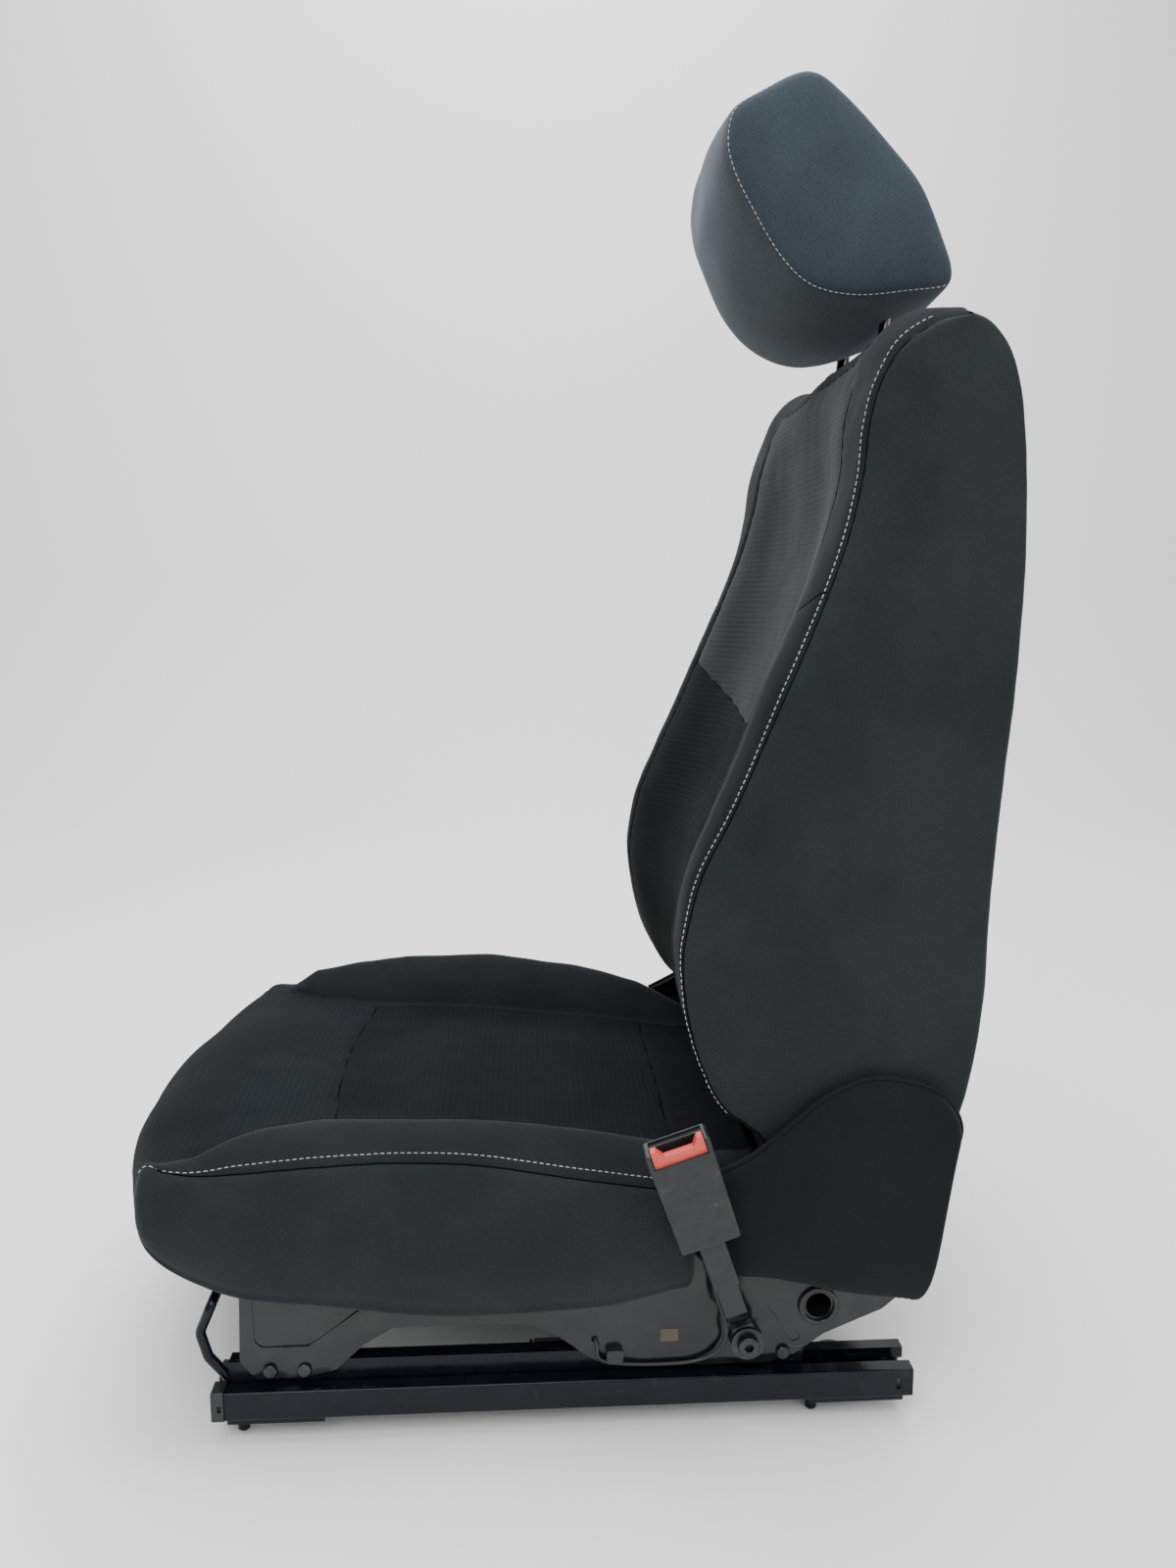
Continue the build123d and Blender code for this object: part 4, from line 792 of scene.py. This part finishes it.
def build_wing(side, tag):
    section = smooth_curve(WING_SECTION, WING_COLUMNS)
    grid = []
    lines = smooth_curve([(*top, *low) for top, low in zip(WING_TOP, WING_LOW)], WING_ROWS)
    for i, line in enumerate(lines):
        top, low = line[:2], line[2:]
        ends = min(1.0, i / 9, (WING_ROWS - 1 - i) / 7)
        puff = 0.45 + 0.55 * math.sin(math.pi / 2 * ends)
        grid.append([(side * (WING_INNER_X + (x - WING_INNER_X) * puff), *(top + (low - top) * share))
                     for x, share in section])
    grid = np.array(grid)
    normals = outward_normals(grid, slice(None), WING_COLUMNS // 2, side, closed=False)
    ripple(grid, normals, 1.6, 0.022, 31.0)
    wing = shell(f"recliner_wing_cover_{tag}", grid, [WING_CLOTH], lambda i, j: 0, closed=False)
    thick = wing.modifiers.new("cloth", "SOLIDIFY")
    thick.thickness = WING_CLOTH_THICKNESS
    thick.offset = -1
    padded_cover(wing, 0.4, "seat_base", f"recliner_wing_{tag}")
    edge = grid[2:-2, PIPING_COLUMN] + normals[2:-2, PIPING_COLUMN] * 0.6
    belongs(tube(f"recliner_wing_piping_{tag}", edge, 2.3, PIPING), "seat_base")
    hem = stitches(f"recliner_wing_hem_{tag}", grid[6:-8, HEM_COLUMN], normals[6:-8, HEM_COLUMN], DARK_THREAD,
                   length=3.5, gap=2.0, width=0.5)
    belongs(hem, "seat_base")


# ---------------------------------------------------------------- buckle lead, paper patch and slot ribs
LEAD = [(213, 21, 60), (222, 21.5, 59.5), (229, 23, 55), (229.5, 24, 45), (229, 34, 39.5), (229, 60, 36.8),
        (229, 92, 36.8), (229.5, 110, 39.5), (231, 122, 46), (235, 128.5, 57), (242, 130, 72), (251, 127, 90),
        (260, 121.5, 108), (264.5, 117.5, 121), (265.5, 115.5, 129), (266, 113, 137)]
LEAD_RADIUS = 1.7
PATCH_MIDDLE = np.array([84.5, 61.25])
PATCH_CORNER = np.array([6.0, 4.25])  # from the middle to a round corner's centre
PATCH_ROUND = 1.5
PATCH_LEVELS = ((226.45, 1.0), (226.75, 1.0), (226.85, 0.9))  # X, and share of the outline
BUCKLE_LEAN = math.radians(18.9)
BUCKLE_FOOT = (150, 57)  # Y and Z where the buckle's own axis starts
RIB_COUNT, RIB_FIRST, RIB_PITCH = 13, -13.2, 2.2
RIB_SECTIONS = ((197, 270.9, 0.55), (204, 271.3, 0.5), (210.5, 271.2, 0.45), (212.6, 270.6, 0.35))
RIB_BASE_X = 270.2


def build_lead():
    lead = tube("buckle_lead", smooth_curve(LEAD, 150), LEAD_RADIUS, WIRE, sides=12)
    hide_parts("buckle_wire")
    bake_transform(lead)


def build_patch():
    """The small blank paper patch on the inboard side member."""
    rim = []
    for k, signs in enumerate(((-1, -1), (1, -1), (1, 1), (-1, 1))):
        for a in np.linspace(0, math.pi / 2, 5) + math.pi + k * math.pi / 2:
            rim.append(signs * PATCH_CORNER + PATCH_ROUND * np.array([math.cos(a), math.sin(a)]))
    verts = [(x, *(PATCH_MIDDLE + share * p)) for x, share in PATCH_LEVELS for p in rim]
    faces = ring_faces(0, len(PATCH_LEVELS), len(rim))
    patch = mesh_object("side_member_patch", np.array(verts) * MM, faces, [PAPER], smooth=False)
    belongs(patch, "seat_base")


def build_slot_ribs():
    """Fine ribs on the buckle's face. Each section is (place up the buckle, X of its crest, half width)."""
    sine, cosine = math.sin(BUCKLE_LEAN), math.cos(BUCKLE_LEAN)
    verts, faces = [], []
    for k in range(RIB_COUNT):
        faces += ring_faces(len(verts), len(RIB_SECTIONS), 4)
        for up, crest_x, half in RIB_SECTIONS:
            for x, aside in ((RIB_BASE_X, -half), (crest_x, -half * 0.6), (crest_x, half * 0.6),
                             (RIB_BASE_X, half)):
                across = RIB_FIRST + RIB_PITCH * k + aside
                verts.append((x, BUCKLE_FOOT[0] - up * sine + across * cosine,
                              BUCKLE_FOOT[1] + up * cosine + across * sine))
    ribs = mesh_object("buckle_slot_ribs", np.array(verts) * MM, faces, [PLASTIC], smooth=False)
    belongs(ribs, "buckle")


# ---------------------------------------------------------------- stage, camera and light
FLOOR_Z = -0.0182
SWEEP_START_X, SWEEP_RADIUS, SWEEP_TOP_Z = -2.6, 0.8, 6.0
CAMERA_PLACE = (1.139, -0.0357, 0.6696)
CAMERA_YAW, CAMERA_PITCH = math.radians(3.208), math.radians(8.437)
LIGHTS = (("key", (2.0, -0.6, 2.4), (0, 0.05, 0.45), (1.6, 1.6), 62),
          ("fill", (2.2, 1.4, 1.2), (0, 0.1, 0.5), (1.4, 1.4), 16),
          ("top", (0.2, 0.3, 2.6), (0, 0.1, 0.4), (1.2, 1.2), 16),
          ("front", (-0.2, -2.6, 1.1), (0, 0, 0.4), (1.4, 1.4), 5),
          ("sweep", (-1.6, 0, 3.6), (-3.0, 0, 0.6), (3, 5), 190))  # name, place, target, size, power


def build_stage():
    """A pale floor that curves up into a backdrop."""
    bpy.ops.mesh.primitive_plane_add(size=14, location=(0, 0, FLOOR_Z))
    floor = bpy.context.object
    floor.name = "floor"
    floor_mat, _, bsdf = new_material("floor")
    bsdf.inputs["Base Color"].default_value = (0.92, 0.92, 0.92, 1)
    bsdf.inputs["Roughness"].default_value = 0.9
    floor.data.materials.append(floor_mat)
    sweep = [(SWEEP_START_X - SWEEP_RADIUS * math.sin(a), FLOOR_Z + SWEEP_RADIUS * (1 - math.cos(a)))
             for a in np.linspace(0, math.pi / 2, 16)]
    sweep.append((SWEEP_START_X - SWEEP_RADIUS, SWEEP_TOP_Z))
    grid = np.array([[(x / MM, y, z / MM) for y in np.linspace(-7000, 7000, 5)] for x, z in sweep])
    shell("backdrop", grid, [floor_mat], lambda i, j: 0, closed=False)


def place_camera():
    data = bpy.data.cameras.new("camera")
    camera = bpy.data.objects.new("camera", data)
    bpy.context.scene.collection.objects.link(camera)
    data.sensor_fit = "VERTICAL"
    data.sensor_height = 36
    data.lens = 27
    data.clip_start = 0.01
    level = math.cos(CAMERA_PITCH)
    forward = Vector((-level * math.cos(CAMERA_YAW), level * math.sin(CAMERA_YAW), -math.sin(CAMERA_PITCH)))
    right = Vector((math.sin(CAMERA_YAW), math.cos(CAMERA_YAW), 0))
    turn = Matrix((right, right.cross(forward), -forward)).transposed().to_4x4()
    camera.matrix_world = Matrix.Translation(CAMERA_PLACE) @ turn
    bpy.context.scene.camera = camera


def light_scene():
    world = bpy.data.worlds.new("world")
    world.use_nodes = True
    world.node_tree.nodes["Background"].inputs["Color"].default_value = (1, 1, 1, 1)
    world.node_tree.nodes["Background"].inputs["Strength"].default_value = 0.5
    bpy.context.scene.world = world
    for name, place, target, size, power in LIGHTS:
        data = bpy.data.lights.new(name, "AREA")
        data.shape = "RECTANGLE"
        data.size, data.size_y = size
        data.energy = power
        lamp = bpy.data.objects.new(name, data)
        bpy.context.scene.collection.objects.link(lamp)
        lamp.location = place
        lamp.rotation_euler = (Vector(target) - Vector(place)).to_track_quat("-Z", "Y").to_euler()


finish_cad_nodes()
build_backrest()
build_cushion()
build_headrest()
for wing_side, wing_tag in SIDES:
    build_wing(wing_side, wing_tag)
build_lead()
build_patch()
build_slot_ribs()
build_stage()
place_camera()
light_scene()
